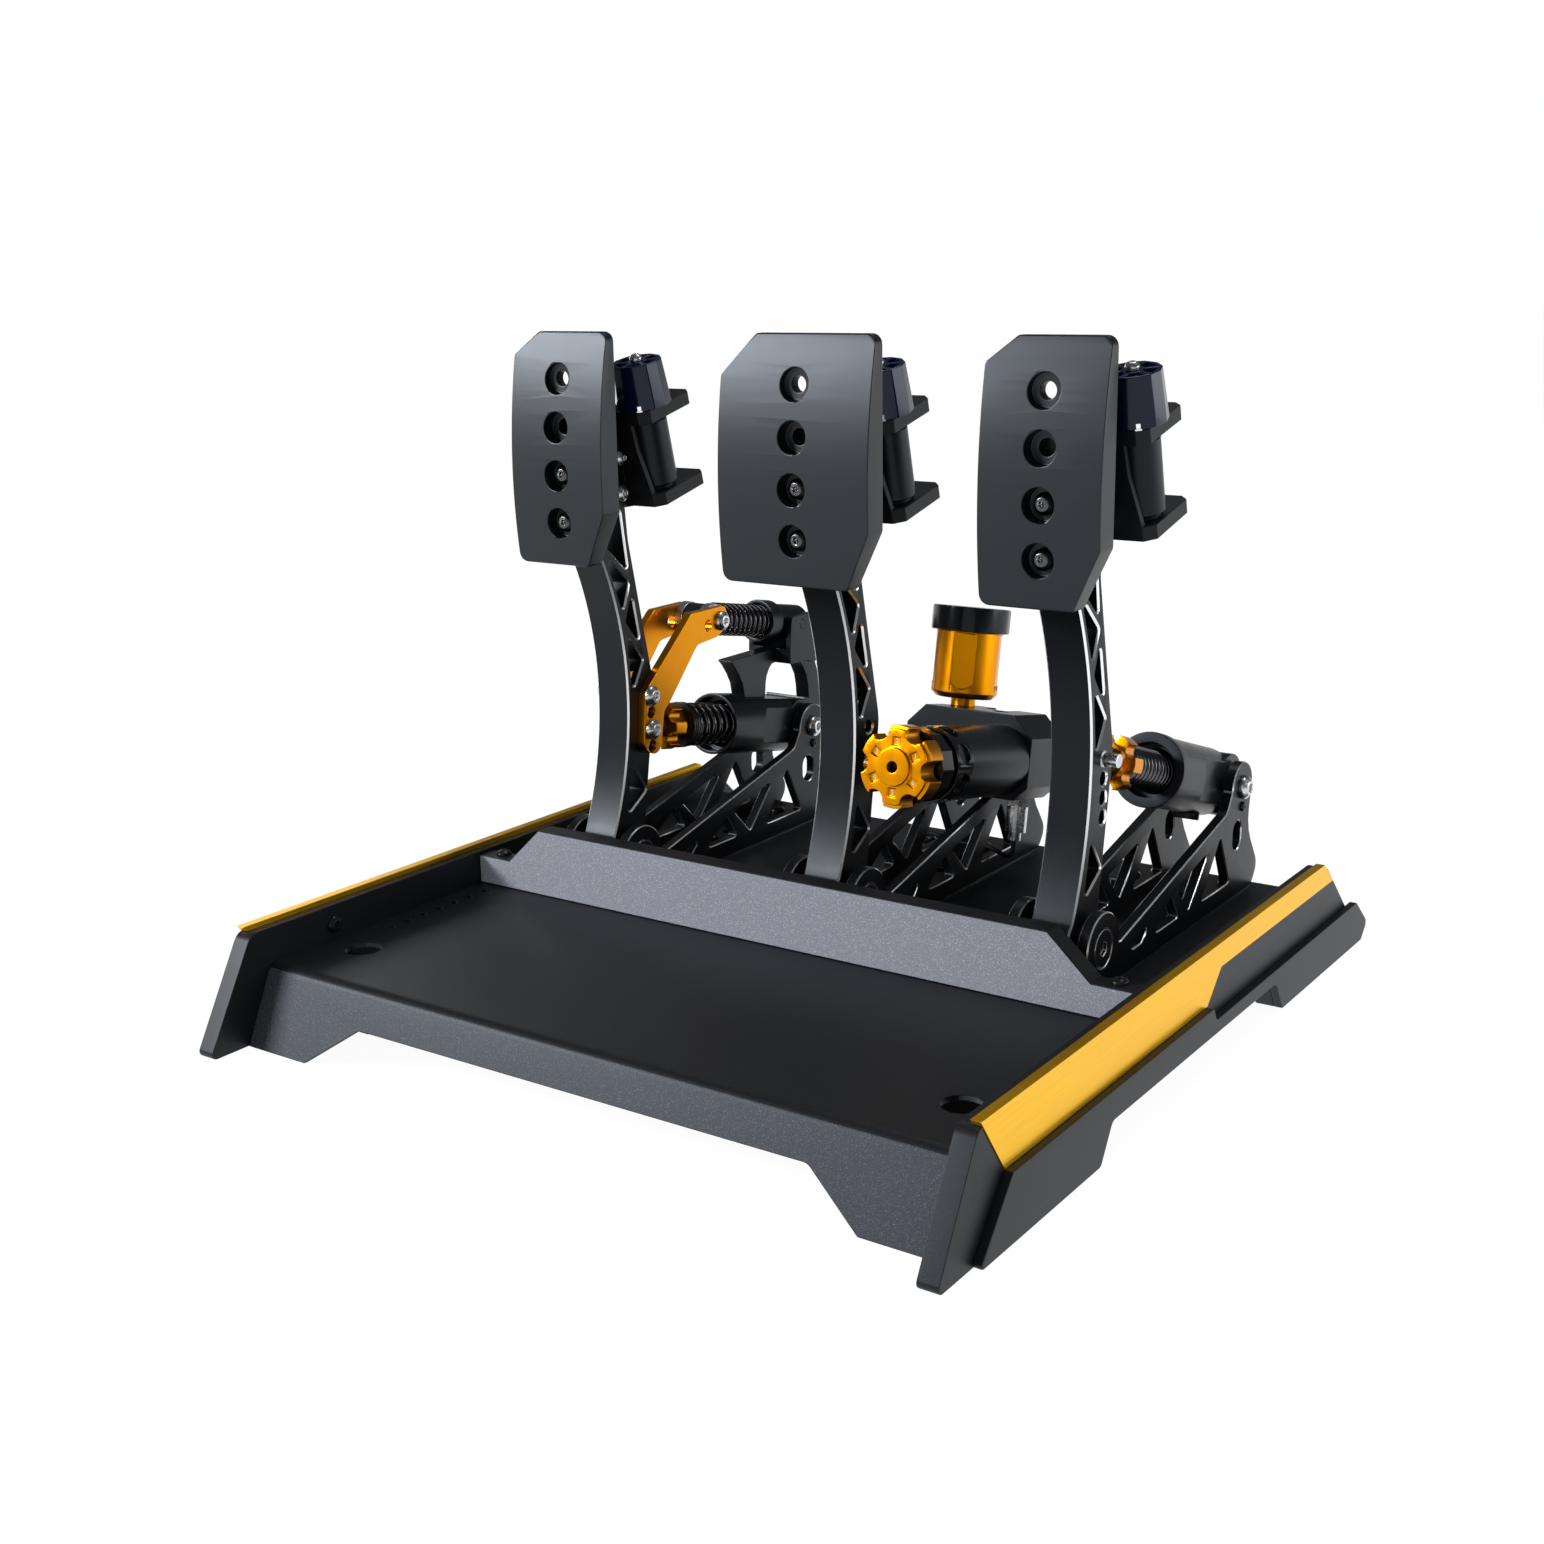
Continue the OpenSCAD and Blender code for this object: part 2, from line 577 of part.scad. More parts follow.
function arm_outline() = rounded([
    [arm_front_y, arm_top_z], [arm_front_y, hinge_z + 8], [hinge_y - 12, hinge_z], [hinge_y + 12, hinge_z],
    for (z = [66, 90, 112, 152, 190, 238, 285]) [arm_rear_y(z), z],
    [arm_rear_y(arm_top_z), arm_top_z]], [4, 3, 0, 0, 0, 0, 20, 24, 20, 20, 20, 4]);

// Node of the truss, on the front edge for even k and on the rear edge for odd k
function truss_node(k) =
    let (z = arm_bow_z - 3.4 + truss_pitch / 2 * k)
    [k % 2 == 0 ? arm_edge_y(z) + arm_rim : arm_rear_y(z) - arm_rim, z];
truss_rib = 2;

module arm(x) {
    color("#1a1b1e") at_base(x) difference() {
        union() {
            difference() {
                plate(-arm_w / 2, arm_w, arm_outline());
                translate([0, arm_bow_y, arm_bow_z]) rotate([0, 90, 0])
                    cylinder(r = arm_bow_r, h = arm_w + 2, center = true, $fn = large_fn);
            }
            bar(-arm_w / 2, arm_w / 2, hinge_y, hinge_z, front_boss_d - 3);
        }
        for (k = [0 : 3])
            plate(-arm_w, 2 * arm_w,
                rounded(drawn_in([for (j = [0 : 2]) truss_node(k + j)], truss_rib), 1.5));
        plate(-arm_w, 2 * arm_w, rounded([[hinge_y + 8, pin_z - 18], [hinge_y + 20, pin_z - 36],
            [hinge_y + 2, pin_z - 47]], 2));
        translate([-slot_w / 2, pin_y - 9, pin_z - 18]) cube([slot_w, 30, 2 * pin_pitch + 31]);
        bar(-arm_w, arm_w, hinge_y, hinge_z, hinge_pin_d + 2 * running);
        for (k = [-1 : 2]) bar(-arm_w, arm_w, pin_y, pin_z + k * pin_pitch, pin_d + 2 * running);
        for (k = [0, 1]) translate([0, arm_front_y - 1, face_hole_z(k)]) rotate([-90, 0, 0])
            cylinder(d = 6 + 2 * running, h = 17);
        motor_screw_bores();
    }
}

// Pedal faces

function face_hole_z(k) = face_top_z - 24 - (3 - k) * face_pitch;

module face(x, w, chamfer) {
    top = face_top_z;
    low = face_top_z - face_l;
    outline = [[-w / 2, low], [w / 2 - 14, low], [w / 2, low + 29], [w / 2, top],
        [-w / 2 + chamfer[0], top], [-w / 2, top - chamfer[1]]];
    color("#222326") at_base(x) difference() {
        intersection() {
            translate([0, arm_front_y, 0]) rotate([90, 0, 0]) linear_extrude(face_t)
                polygon(rounded(outline, [face_radius, 3, 3, face_radius, 3, 3]));
            translate([0, arm_front_y - face_t + face_bow_r, top - 76]) rotate([0, 90, 0])
                cylinder(r = face_bow_r, h = w + 2, center = true, $fn = large_fn);
        }
        for (k = [0 : 3]) translate([0, 0, face_hole_z(k)]) rotate([-90, 0, 0]) {
            translate([0, 0, arm_front_y - 2 * face_t]) cylinder(d = face_bore_d, h = 2 * face_t - face_seat);
            translate([0, 0, arm_front_y - 2 * face_t]) cylinder(d = face_hole_d, h = 3 * face_t);
        }
    }
}

// Vibration motors on the right side of the arms

motor_y = 252 + hinge_y - 236;
motor_z = arm_top_z - 40;
motor_x = arm_w / 2 + 16;
can_y = 2.5;
flange_low = -13;
flange_high = flange_low + flange_t + motor_l;
motor_plate_t = 5;
motor_screw_y = hinge_y + 0.5;
motor_screw_z = [motor_z - 8, motor_z + 11];

// Frame of a tilted motor: Z along the can
module at_motor(x) {
    at_base(x) translate([0, motor_y, motor_z]) rotate([motor_tilt, 0, 0]) children();
}

module motor_screw_bores() {
    for (z = motor_screw_z) bar(0, arm_w, motor_screw_y, z, screw_d + 2 * running);
}

module motor_bracket(x) {
    side = arm_w / 2;
    out = motor_x + 11;
    color("#151617") difference() {
        union() {
            at_motor(x) {
                for (z = [flange_low, flange_high]) difference() {
                    translate([0, 0, z]) linear_extrude(flange_t) polygon([
                        [side, -12], [out - 5, -12], [out, -7], [out, 27], [out - 4, 31], [side, 31]]);
                    if (z == flange_high)
                        translate([motor_x, can_y, z - 1]) cylinder(d = 8, h = flange_t + 2);
                }
                translate([side, -12, flange_low])
                    cube([motor_plate_t, 30, flange_high - flange_low + flange_t]);
                translate([0, -8.6, 0]) rotate([90, 0, 0]) linear_extrude(3.4) polygon([
                    [side, flange_low], [out - 5, flange_low], [out - 5, flange_low + flange_t],
                    [side + 20, flange_low + flange_t + 10], [side + 17, flange_high - 14],
                    [side + 16, flange_high], [side, flange_high]]);
            }
            at_base(x) plate(side, motor_plate_t, rounded([[motor_screw_y - 7, motor_z - 16],
                [motor_screw_y + 18, motor_z - 16], [motor_screw_y + 12, motor_z + 20],
                [motor_screw_y - 7, motor_z + 20]], 3));
        }
        at_base(x) {
            motor_screw_bores();
            bar(side, side + motor_plate_t + 1, motor_screw_y + 1, motor_z - 0.5, 4);
            for (z = motor_screw_z)
                bar(side + motor_plate_t, side + motor_plate_t + 4, motor_screw_y, z, 9 + 2 * gap);
        }
    }
}

module motor(x) {
    color("#101113") at_motor(x) {
        translate([motor_x, can_y, flange_low + flange_t]) rotate_extrude() polygon(rounded([
            [0, 0], [motor_d / 2 - 2, 0], [motor_d / 2 - 2, 2], [motor_d / 2, 3], [motor_d / 2, motor_l - 1],
            [motor_d / 2 - 1, motor_l], [0, motor_l]], 0));
        translate([motor_x, can_y, flange_high - 1]) cylinder(d = 6, h = flange_t + 3);
    }
}

module motor_cap(x) {
    sides = 12;
    ribs = 6;
    wall = 4;
    pocket_h = 2.5;
    color("#1d2440") at_motor(x) translate([motor_x, can_y, flange_high + flange_t]) difference() {
        cylinder(d1 = cap_d, d2 = cap_d - 3, h = cap_h, $fn = sides);
        for (k = [0 : ribs - 1]) rotate(360 / ribs * k) translate([0, 0, cap_h - pocket_h])
            linear_extrude(pocket_h + 1) polygon([[5.5, -1.8], [cap_d / 2 - wall, -4.4],
                [cap_d / 2 - wall, 4.4], [5.5, 1.8]]);
        translate([0, 0, -1]) cylinder(d = cap_d - 2 * wall, h = cap_h - 2 * pocket_h);
        cylinder(d = 5 + 2 * running, h = cap_h + 3);
    }
}

// Fasteners of the three pedals

module face_and_motor_screws() {
    for (k = [0, 1]) translate([0, arm_front_y - face_seat, face_hole_z(k)]) rotate([90, 0, 0])
        screw(6, 10.5, 4.5, face_seat + 15);
    for (z = motor_screw_z) translate([arm_w / 2 + motor_plate_t, motor_screw_y, z]) rotate([0, 90, 0])
        screw(screw_d, 9, 3, motor_plate_t + 9);
}

module throttle_fasteners() {
    color("#c9ccd0") {
        at_base(throttle_x) {
            face_and_motor_screws();
            bar(-arm_w / 2, arm_w / 2 + 8, pin_y, throttle_pin_z, pin_d);
        }
        cap_screw(throttle_x);
    }
}

module brake_fasteners() {
    color("#c9ccd0") {
        at_base(brake_x) {
            face_and_motor_screws();
            bar(-arm_w / 2, arm_w / 2, pin_y, pin_z, pin_d);
            translate([arm_w / 2, pin_y, pin_z]) rotate([0, 90, 0]) cylinder(d1 = 13, d2 = 9, h = 3);
            translate([-arm_w / 2, pin_y, pin_z]) rotate([0, -90, 0]) button_head(11, 4, 4);
        }
        cap_screw(brake_x);
    }
}

// Screw that holds a motor's cap down
module cap_screw(x) {
    at_motor(x) translate([motor_x, can_y, flange_high + flange_t + cap_h]) {
        button_head(7, 3.5, 3);
        translate([0, 0, 2 - cap_h]) cylinder(d = 5, h = cap_h - 2);
    }
}

module clutch_fasteners() {
    out = arm_w / 2 + link_t;
    color("#c9ccd0") {
        at_base(clutch_x) {
            face_and_motor_screws();
            for (p = [[pin_y, pin_z, pin_d], [pin_y, pin_z + 2 * pin_pitch, pin_d],
                [head_y, head_z, head_pin_d]]) {
                bar(-out, out, p[0], p[1], p[2]);
                for (s = [-1, 1]) translate([s * out, p[0], p[1]]) rotate([0, s * 90, 0])
                    button_head(11.5, 4, 4);
            }
            for (s = [0, 1]) mirror([s, 0, 0]) difference() {
                bar(slot_w / 2, arm_w / 2, head_y, head_z, 19);
                bar(slot_w / 2 - 1, arm_w / 2 + 1, head_y, head_z, head_pin_d + 2 * running);
            }
        }
        cap_screw(clutch_x);
    }
}

// Links that carry the upper spring unit of the clutch

function link_outline() =
    let (y = pin_y, z = pin_z, hy = head_y, hz = head_z)
    rounded([[y - 7.3, z - 11], [y + 7.3, z - 17], [y + 12, z + 8.5], [y + 18.5, z + 13.5],
        [hy - 23, hz - 10.5], [hy - 4, hz - 9], [hy + 8, hz - 4], [hy + 5, hz + 8.5], [hy - 28, hz + 8.5],
        [y - 4.5, z + 22.5]], [7, 7, 4, 4, 6, 5, 5, 4, 4, 3]);

module link(side) {
    x0 = side > 0 ? arm_w / 2 : -arm_w / 2 - link_t;
    color("#d79a2b") at_base(clutch_x) difference() {
        plate(x0, link_t, link_outline());
        for (k = [-1 : 2]) bar(x0 - 1, x0 + link_t + 1, pin_y, pin_z + k * pin_pitch, pin_d + 2 * running);
        bar(x0 - 1, x0 + link_t + 1, head_y, head_z, head_pin_d + 2 * running);
        bar(x0 - 1, x0 + link_t + 1, head_y - 12, head_z - 1, 7);
    }
}

// Spring units. Their frame has Z along the rod towards the pedal and Y square to it, upwards.

module at_unit(x, tilt) {
    at_base(x) translate([0, unit_y, unit_z]) rotate([90 - tilt, 0, 0]) children();
}

seat_from_mouth = 30;
rod_end = 32;

// Cylinder with a flattened, rounded rear end, a stepped mouth for the spring and a bore for the rod
module unit_cylinder(body_d, ring_d, mouth, spring_d, plug) {
    seat = mouth - seat_from_mouth;
    difference() {
        union() {
            translate([0, 0, 4]) cylinder(d = body_d, h = mouth - 12);
            translate([0, 0, mouth - 8]) cylinder(d = ring_d, h = 8);
            bar(-flat_w / 2, flat_w / 2, 0, 0, 35);
            if (plug) translate([0, -body_d / 2 + 1, 18]) rotate([90, 0, 0]) cylinder(d = 14, h = 4);
        }
        for (s = [0, 1]) mirror([s, 0, 0]) translate([flat_w / 2, 0, 0]) {
            translate([0, -body_d, -40]) cube([20, 2 * body_d, 74]);
            translate([0, 0, 34]) rotate([0, 90, 0]) cylinder(d = 26, h = 20);
        }
        translate([0, 0, mouth - 9]) cylinder(d = spring_d + 7, h = 10);
        translate([0, 0, seat]) cylinder(d = spring_d + 2, h = mouth);
        translate([0, 0, rod_end - 24]) cylinder(d = rod_d + 2 * running, h = mouth);
        bar(-flat_w, flat_w, 0, 0, unit_pin_d + 2 * running);
    }
}

// Push rod with an eye at the pedal's pin and a lock nut in front of the knob
module push_rod(d, end, length, lock_s, lock_d, bore_d) {
    eye_w = 10;
    neck_d = 9.6;
    difference() {
        union() {
            translate([0, 0, end]) cylinder(d = d, h = length - 26 - end);
            translate([0, 0, length - 27]) cylinder(d = neck_d, h = 22);
            translate([0, 0, lock_s]) cylinder(d = lock_d, h = 4);
            bar(-eye_w / 2, eye_w / 2, 0, length, bore_d + 6);
        }
        bar(-eye_w, eye_w, 0, length, bore_d);
    }
}

// Lobed wheel about Z: a disc with slots between its lobes; floor_r is the radius of the slots' round ends
module lobed_disc(d, h, slot_d, floor_r, lobes) {
    linear_extrude(h) difference() {
        circle(d = d);
        for (k = [0 : lobes - 1]) rotate(360 / lobes * (k + 0.5)) translate([floor_r + slot_d / 2, 0]) {
            circle(d = slot_d);
            translate([0, -slot_d / 2]) square([d, slot_d]);
        }
    }
}

knob_h = 10;
hub_d = 19;
nut_d = 15;

// Knob on a push rod: lobes from s on and a hub in front of them or behind them
module preload_knob(s, hub_s, hub_h, hub_sides) {
    difference() {
        union() {
            translate([0, 0, s]) lobed_disc(knob_d, knob_h, 7.5, hub_d / 2 + 0.4, 6);
            translate([0, 0, hub_s]) cylinder(d = hub_d, h = hub_h, $fn = hub_sides);
        }
        translate([0, 0, min(s, hub_s) - 1]) cylinder(d = rod_d + 2 * running, h = knob_h + hub_h + 2);
    }
}

// Wound springs

rings_a_curl = 8;
tube_sides = 6;

// Rings of a spring's tube: [centre, direction of travel, turn about Z]
function spring_rings(r, wire, length, curls) =
    let (rise = length - 2 * wire, steps = rings_a_curl * curls, pitch = rise / curls)
    let (slope = atan(pitch / (2 * PI * r)))
    concat(
        [[[r, 0, 0], 90, 0], [[r, 0, wire], (90 + slope) / 2, 0]],
        [for (k = [1 : steps - 1]) let (t = 360 * k / rings_a_curl)
            [[r * cos(t), r * sin(t), wire + rise * k / steps], slope, t]],
        [[[r * cos(360 * curls), r * sin(360 * curls), length - wire], (90 + slope) / 2, 360 * curls],
        [[r * cos(360 * curls), r * sin(360 * curls), length], 90, 360 * curls]]);

// Corners of one ring; climb is the angle of the tube above the flat
function ring_points(ring, wire) =
    let (t = ring[2], climb = ring[1])
    let (out = [cos(t), sin(t), 0], side = [-sin(t) * sin(climb), cos(t) * sin(climb), -cos(climb)])
    [for (k = [0 : tube_sides - 1]) let (a = 360 * k / tube_sides)
        ring[0] + wire / 2 * (cos(a) * out + sin(a) * side)];

// Faces of a closed tube of n rings with the given number of sides, all triangles
function tube_faces(n, sides) = concat(
    [for (i = [0 : n - 2], k = [0 : sides - 1])
        let (a = i * sides + k, b = i * sides + (k + 1) % sides, c = a + sides, d = b + sides)
        each [[a, b, d], [a, d, c]]],
    [for (k = [1 : sides - 2]) [0, k + 1, k]],
    [for (k = [1 : sides - 2]) (n - 1) * sides * [1, 1, 1] + [0, k, k + 1]]);

module spring(name, d, wire, length, curls) {
    rings = spring_rings((d - wire) / 2, wire, length, curls);
    clear = min([for (i = [0 : len(rings) - 1]) let (far = i + rings_a_curl - 1)
        each far < len(rings) ? [for (j = [far : min(far + 3, len(rings) - 1)])
            norm(rings[i][0] - rings[j][0]) - wire] : []]);
    echo(str(name, " spring: least gap between curls ", clear, " mm"));
    polyhedron([for (ring = rings) each ring_points(ring, wire)], tube_faces(len(rings), tube_sides), 4);
}

// Throttle unit

throttle_knob_s = 121;
throttle_hub_h = 5;

module throttle_cylinder() {
    color("#1b1c1e") at_unit(throttle_x, throttle_tilt)
        unit_cylinder(throttle_body_d, throttle_ring_d, throttle_mouth, throttle_spring_d, true);
}

module throttle_rod() {
    color("#17181a") at_unit(throttle_x, throttle_tilt)
        push_rod(rod_d, rod_end, throttle_len, throttle_knob_s + knob_h + throttle_hub_h + gap, nut_d,
            pin_d + 2 * eye_play);
}

module throttle_knob() {
    color("#e0a21f") at_unit(throttle_x, throttle_tilt)
        preload_knob(throttle_knob_s, throttle_knob_s + knob_h, throttle_hub_h, $fn);
}

module throttle_spring() {
    seat = throttle_mouth - seat_from_mouth;
    color("#0e0e10") at_unit(throttle_x, throttle_tilt) translate([0, 0, seat])
        spring("throttle", throttle_spring_d, throttle_wire, throttle_knob_s - gap - seat, 15);
}

// Clutch unit

clutch_knob_s = 121;
clutch_hub_h = 8;
clutch_seat_s = clutch_knob_s - clutch_hub_h - gap - 5.7;
bridge_foot_h = 16;

module clutch_cylinder() {
    color("#1b1c1e") at_unit(clutch_x, low_tilt) difference() {
        union() {
            unit_cylinder(clutch_body_d, clutch_body_d, clutch_mouth, clutch_spring_d, false);
            difference() {
                translate([-8, -9, -40]) cube([16, 17, 40]);
                bar(-flat_w, flat_w, 0, 0, unit_pin_d + 2 * running);
            }
        }
        translate([-20, bridge_foot_h, 0]) cube([40, 10, 60]);
    }
}

module clutch_rod() {
    color("#17181a") at_unit(clutch_x, low_tilt) {
        push_rod(rod_d, rod_end, low_len, clutch_knob_s + knob_h + gap, nut_d, pin_d + 2 * eye_play);
        translate([0, 0, clutch_seat_s]) difference() {
            cylinder(d = clutch_spring_d + 1, h = 5.7);
            for (s = [1.6, 3.6]) translate([0, 0, s]) difference() {
                cylinder(d = clutch_spring_d + 2, h = 0.8);
                translate([0, 0, -1]) cylinder(d = clutch_spring_d - 1, h = 3);
            }
        }
    }
}

module clutch_knob() {
    color("#e0a21f") at_unit(clutch_x, low_tilt) preload_knob(clutch_knob_s, clutch_knob_s - clutch_hub_h,
        clutch_hub_h, 6);
}

module clutch_spring() {
    seat = clutch_mouth - seat_from_mouth;
    color("#0e0e10") at_unit(clutch_x, low_tilt) translate([0, 0, seat])
        spring("clutch", clutch_spring_d, clutch_wire, clutch_seat_s - gap - seat, 9);
}

// Saddle that stands on the clutch cylinder and carries the upper spring unit

bridge_w = 10;
yoke_w = 31.8;
upper_d = 22;
cup_d = 26;

module clutch_bridge() {
    top = upper_z - 14;
    arch = [[upper_y - 63, top], [upper_y - 59, top - 3], [upper_y - 49, top - 16], [upper_y - 47, top - 45],
        [upper_y - 28, top - 45], [upper_y - 25, top - 16], [upper_y - 19, top - 9], [upper_y + 10, top - 10],
        [upper_y + 21, top - 23], [upper_y + 25, top - 70], [upper_y + 36, top - 70],
        [upper_y + 35, top - 28], [upper_y + 18, upper_z - 1], [upper_y + 12, upper_z + 6],
        [upper_y - 12, upper_z + 6], [upper_y - 14, top]];
    corners = [1, 10, 30, 0, 0, 20, 6, 14, 30, 0, 0, 30, 6, 6, 4, 0];
    color("#1c1d20") difference() {
        union() {
            at_base(clutch_x) plate(-bridge_w / 2, bridge_w, rounded(arch, corners));
            at_base(clutch_x) intersection() {
                plate(-yoke_w / 2, yoke_w, rounded(arch, corners));
                translate([-yoke_w / 2, upper_y - 14, top - 12]) cube([yoke_w, 60, 60]);
            }
        }
        at_base(clutch_x) {
            translate([-cup_d / 2 + 0.6, upper_y - 40, top]) cube([cup_d - 1.2, 61, 40]);
            bar(-20, 20, upper_y, upper_z, 6 + 2 * running);
        }
        at_unit(clutch_x, low_tilt) {
            translate([-20, -50, 0]) cube([40, 50 + bridge_foot_h, 70]);
            translate([-20, -50, -60]) cube([40, 58, 61]);
            bar(-20, 20, 0, 0, 37);
        }
    }
}

// Frame of the clutch's upper unit, Z along its rod towards the link heads
module at_upper() {
    at_base(clutch_x) translate([0, upper_y, upper_z]) rotate([90 - upper_tilt, 0, 0]) children();
}

upper_rod_d = 9;
upper_seat_s = 20;

module clutch_upper_cylinder() {
    color("#1a1b1d") at_upper() difference() {
        union() {
            translate([0, 0, -14]) cylinder(d = upper_d, h = 34);
            translate([0, 0, 17]) cylinder(d = cup_d, h = 11);
            bar(-yoke_w / 2, yoke_w / 2, 0, 0, 6);
        }
        translate([0, 0, -15]) cylinder(d = upper_rod_d + 2 * running, h = 50);
        translate([0, 0, upper_seat_s]) cylinder(d = upper_spring_d + 1.6, h = 20);
    }
}

upper_flange_s = upper_len - 13;

module clutch_upper_rod() {
    color("#17181a") at_upper() difference() {
        union() {
            translate([0, 0, 13]) cylinder(d = upper_rod_d, h = upper_len - 20);
            translate([0, 0, upper_flange_s]) cylinder(d = upper_spring_d - 1, h = 3);
            bar(-5, 5, 0, upper_len, head_pin_d + 2 * head_play + 7);
        }
        bar(-6, 6, 0, upper_len, head_pin_d + 2 * head_play);
    }
}

module clutch_upper_spring() {
    color("#0e0e10") at_upper() translate([0, 0, upper_seat_s])
        spring("upper", upper_spring_d, upper_wire, upper_flange_s - gap - upper_seat_s, 11);
}

// Brake unit

block_front = 61;
block_low = -20;
block_high = 27.4;
block_foot_s = 22;
bridge_s = 36;
shoulder_s = 41;
brake_rise = 1.5;

// Outline of the brake block across the unit, from its left flank to its right one
function block_outline(x0, x1, cut0, cut1) = [
    [x0, -12], [x0 + cut0 * 0.7, block_low], [x1 - cut1 * 0.7, block_low], [x1, -12],
    [x1, block_high - cut1], [x1 - cut1, block_high], [x0 + cut0, block_high], [x0, block_high - cut0]];

module brake_block() {
    right = brake_offset + 20;
    web = bracket_out + 1.2;
    color("#1c1d1f") at_unit(brake_x, low_tilt) difference() {
        union() {
            translate([0, 0, bridge_s]) linear_extrude(block_front - bridge_s)
                polygon(block_outline(-16, right, 10, 12));
            translate([0, 0, shoulder_s]) linear_extrude(block_front - shoulder_s)
                polygon(block_outline(-24, right, 11, 12));
            translate([0, 0, block_foot_s]) linear_extrude(bridge_s - block_foot_s + 1)
                polygon(block_outline(-15.5, 15.5, 10, 4));
            translate([0, 0, block_foot_s]) linear_extrude(bridge_s - block_foot_s + 1)
                polygon(block_outline(web, right, 2, 12));
            translate([-15.5, -15, 0]) cube([31, 30, block_foot_s + 1]);
            bar(-15.5, 15.5, 0, 0, 34);
        }
        bar(-20, 20, 0, 0, unit_pin_d + 2 * running);
        translate([0, 0, rod_end + 2]) cylinder(d = rod_d + 2 + 2 * running, h = 40);
        translate([brake_offset / 2 + 9, block_high - 4, 46]) rotate([-90, 0, 0]) cylinder(d = 9, h = 10);
    }
}

module brake_rod() {
    color("#17181a") at_unit(brake_x, low_tilt)
        push_rod(rod_d + 2, rod_end + 12, low_len, low_len - 36, 22, pin_d + 2 * eye_play);
}

module brake_cylinder() {
    color("#1a1b1d") at_unit(brake_x, low_tilt) translate([brake_offset, brake_rise, block_front])
        difference() {
        cylinder(d = brake_cyl_d, h = brake_cyl_l);
        translate([0, 0, brake_cyl_l - 30]) cylinder(d = brake_cyl_d - 8, h = 31);
    }
}

collar_l = 32;
dimples = 8;

module brake_collar() {
    color("#141517") at_unit(brake_x, low_tilt)
        translate([brake_offset, brake_rise, block_front + brake_cyl_l]) difference() {
            union() {
                translate([0, 0, -12]) cylinder(d = brake_cyl_d - 8 - 2 * gap, h = 14);
                cylinder(d = brake_cyl_d + 1, h = 17);
                translate([0, 0, 17]) cylinder(d = brake_cyl_d - 4, h = 3);
                translate([0, 0, 20]) linear_extrude(collar_l - 20) polygon([for (k = [0 : 11])
                    (brake_cyl_d / 2) * [cos(30 * k), sin(30 * k)]]);
                cylinder(d = 12, h = collar_l + 13);
            }
            for (k = [0 : dimples - 1]) rotate(360 / dimples * (k + 0.5))
                translate([brake_cyl_d / 2 - 1.3, 0, 8.5]) rotate([0, 90, 0]) cylinder(d = 11, h = 5);
        }
}

module brake_knob() {
    wheel = 16;
    lobes = 6;
    slot_d = 10.5;
    floor_r = 15.6;
    pocket = 4.4;
    color("#e0a21f") at_unit(brake_x, low_tilt)
        translate([brake_offset, brake_rise, block_front + brake_cyl_l + collar_l + 2]) rotate(30)
        difference() {
            union() {
                lobed_disc(brake_knob_d, wheel - 4, slot_d, floor_r, lobes);
                translate([0, 0, wheel - 4]) lobed_disc(brake_knob_d - 4, 2, slot_d, floor_r, lobes);
                cylinder(d = 19.6, h = wheel);
            }
            translate([0, 0, -1]) cylinder(d = 12 + 2 * running, h = wheel - 3);
            cylinder(d = 6, h = wheel + 1);
            for (k = [0 : lobes - 1]) rotate(360 / lobes * k) translate([13.2, 0, wheel - 3])
                translate([-pocket / 2, -pocket / 2, 0]) cube([pocket, pocket, 4]);
        }
}

reservoir_s = 41;
neck_h = 5;

module reservoir() {
    base = block_high + neck_h;
    color("#dd9a1c") at_unit(brake_x, low_tilt) translate([0, 0, reservoir_s]) rotate([-90, 0, 0])
    difference() {
        union() {
            translate([0, 0, block_high]) cylinder(d = 14, h = neck_h + 1);
            translate([0, 0, base]) rotate_extrude() polygon([[0, 0], [reservoir_d / 2 - 3, 0],
                [reservoir_d / 2, 3], [reservoir_d / 2, reservoir_h], [0, reservoir_h]]);
            translate([0, 0, base + reservoir_h - 1]) cylinder(d = reservoir_d - 5, h = 9);
        }
        for (k = [0 : 3]) rotate(22 + 90 * k) translate([reservoir_d / 2 - 1.1, 0, base + 13.5]) {
            translate([0, -8, 0]) cube([5, 16, reservoir_h - 14.5]);
            rotate([0, 90, 0]) cylinder(d = 16, h = 5);
        }
        translate([0, 0, base + 5]) cylinder(d = reservoir_d - 9, h = reservoir_h + 5);
    }
}

module reservoir_cap() {
    flats = 16;
    skirt = block_high + neck_h + reservoir_h;
    color("#161719") at_unit(brake_x, low_tilt) translate([0, 0, reservoir_s]) rotate([-90, 0, 0])
        translate([0, 0, skirt]) difference() {
            linear_extrude(lid_h) polygon([for (k = [0 : flats - 1])
                lid_d / 2 * [cos(360 / flats * k), sin(360 / flats * k)]]);
            translate([0, 0, -1]) cylinder(d = reservoir_d - 5 + 2 * running, h = 10.2);
        }
}

sensor_s = 30;
sensor_low = -46;

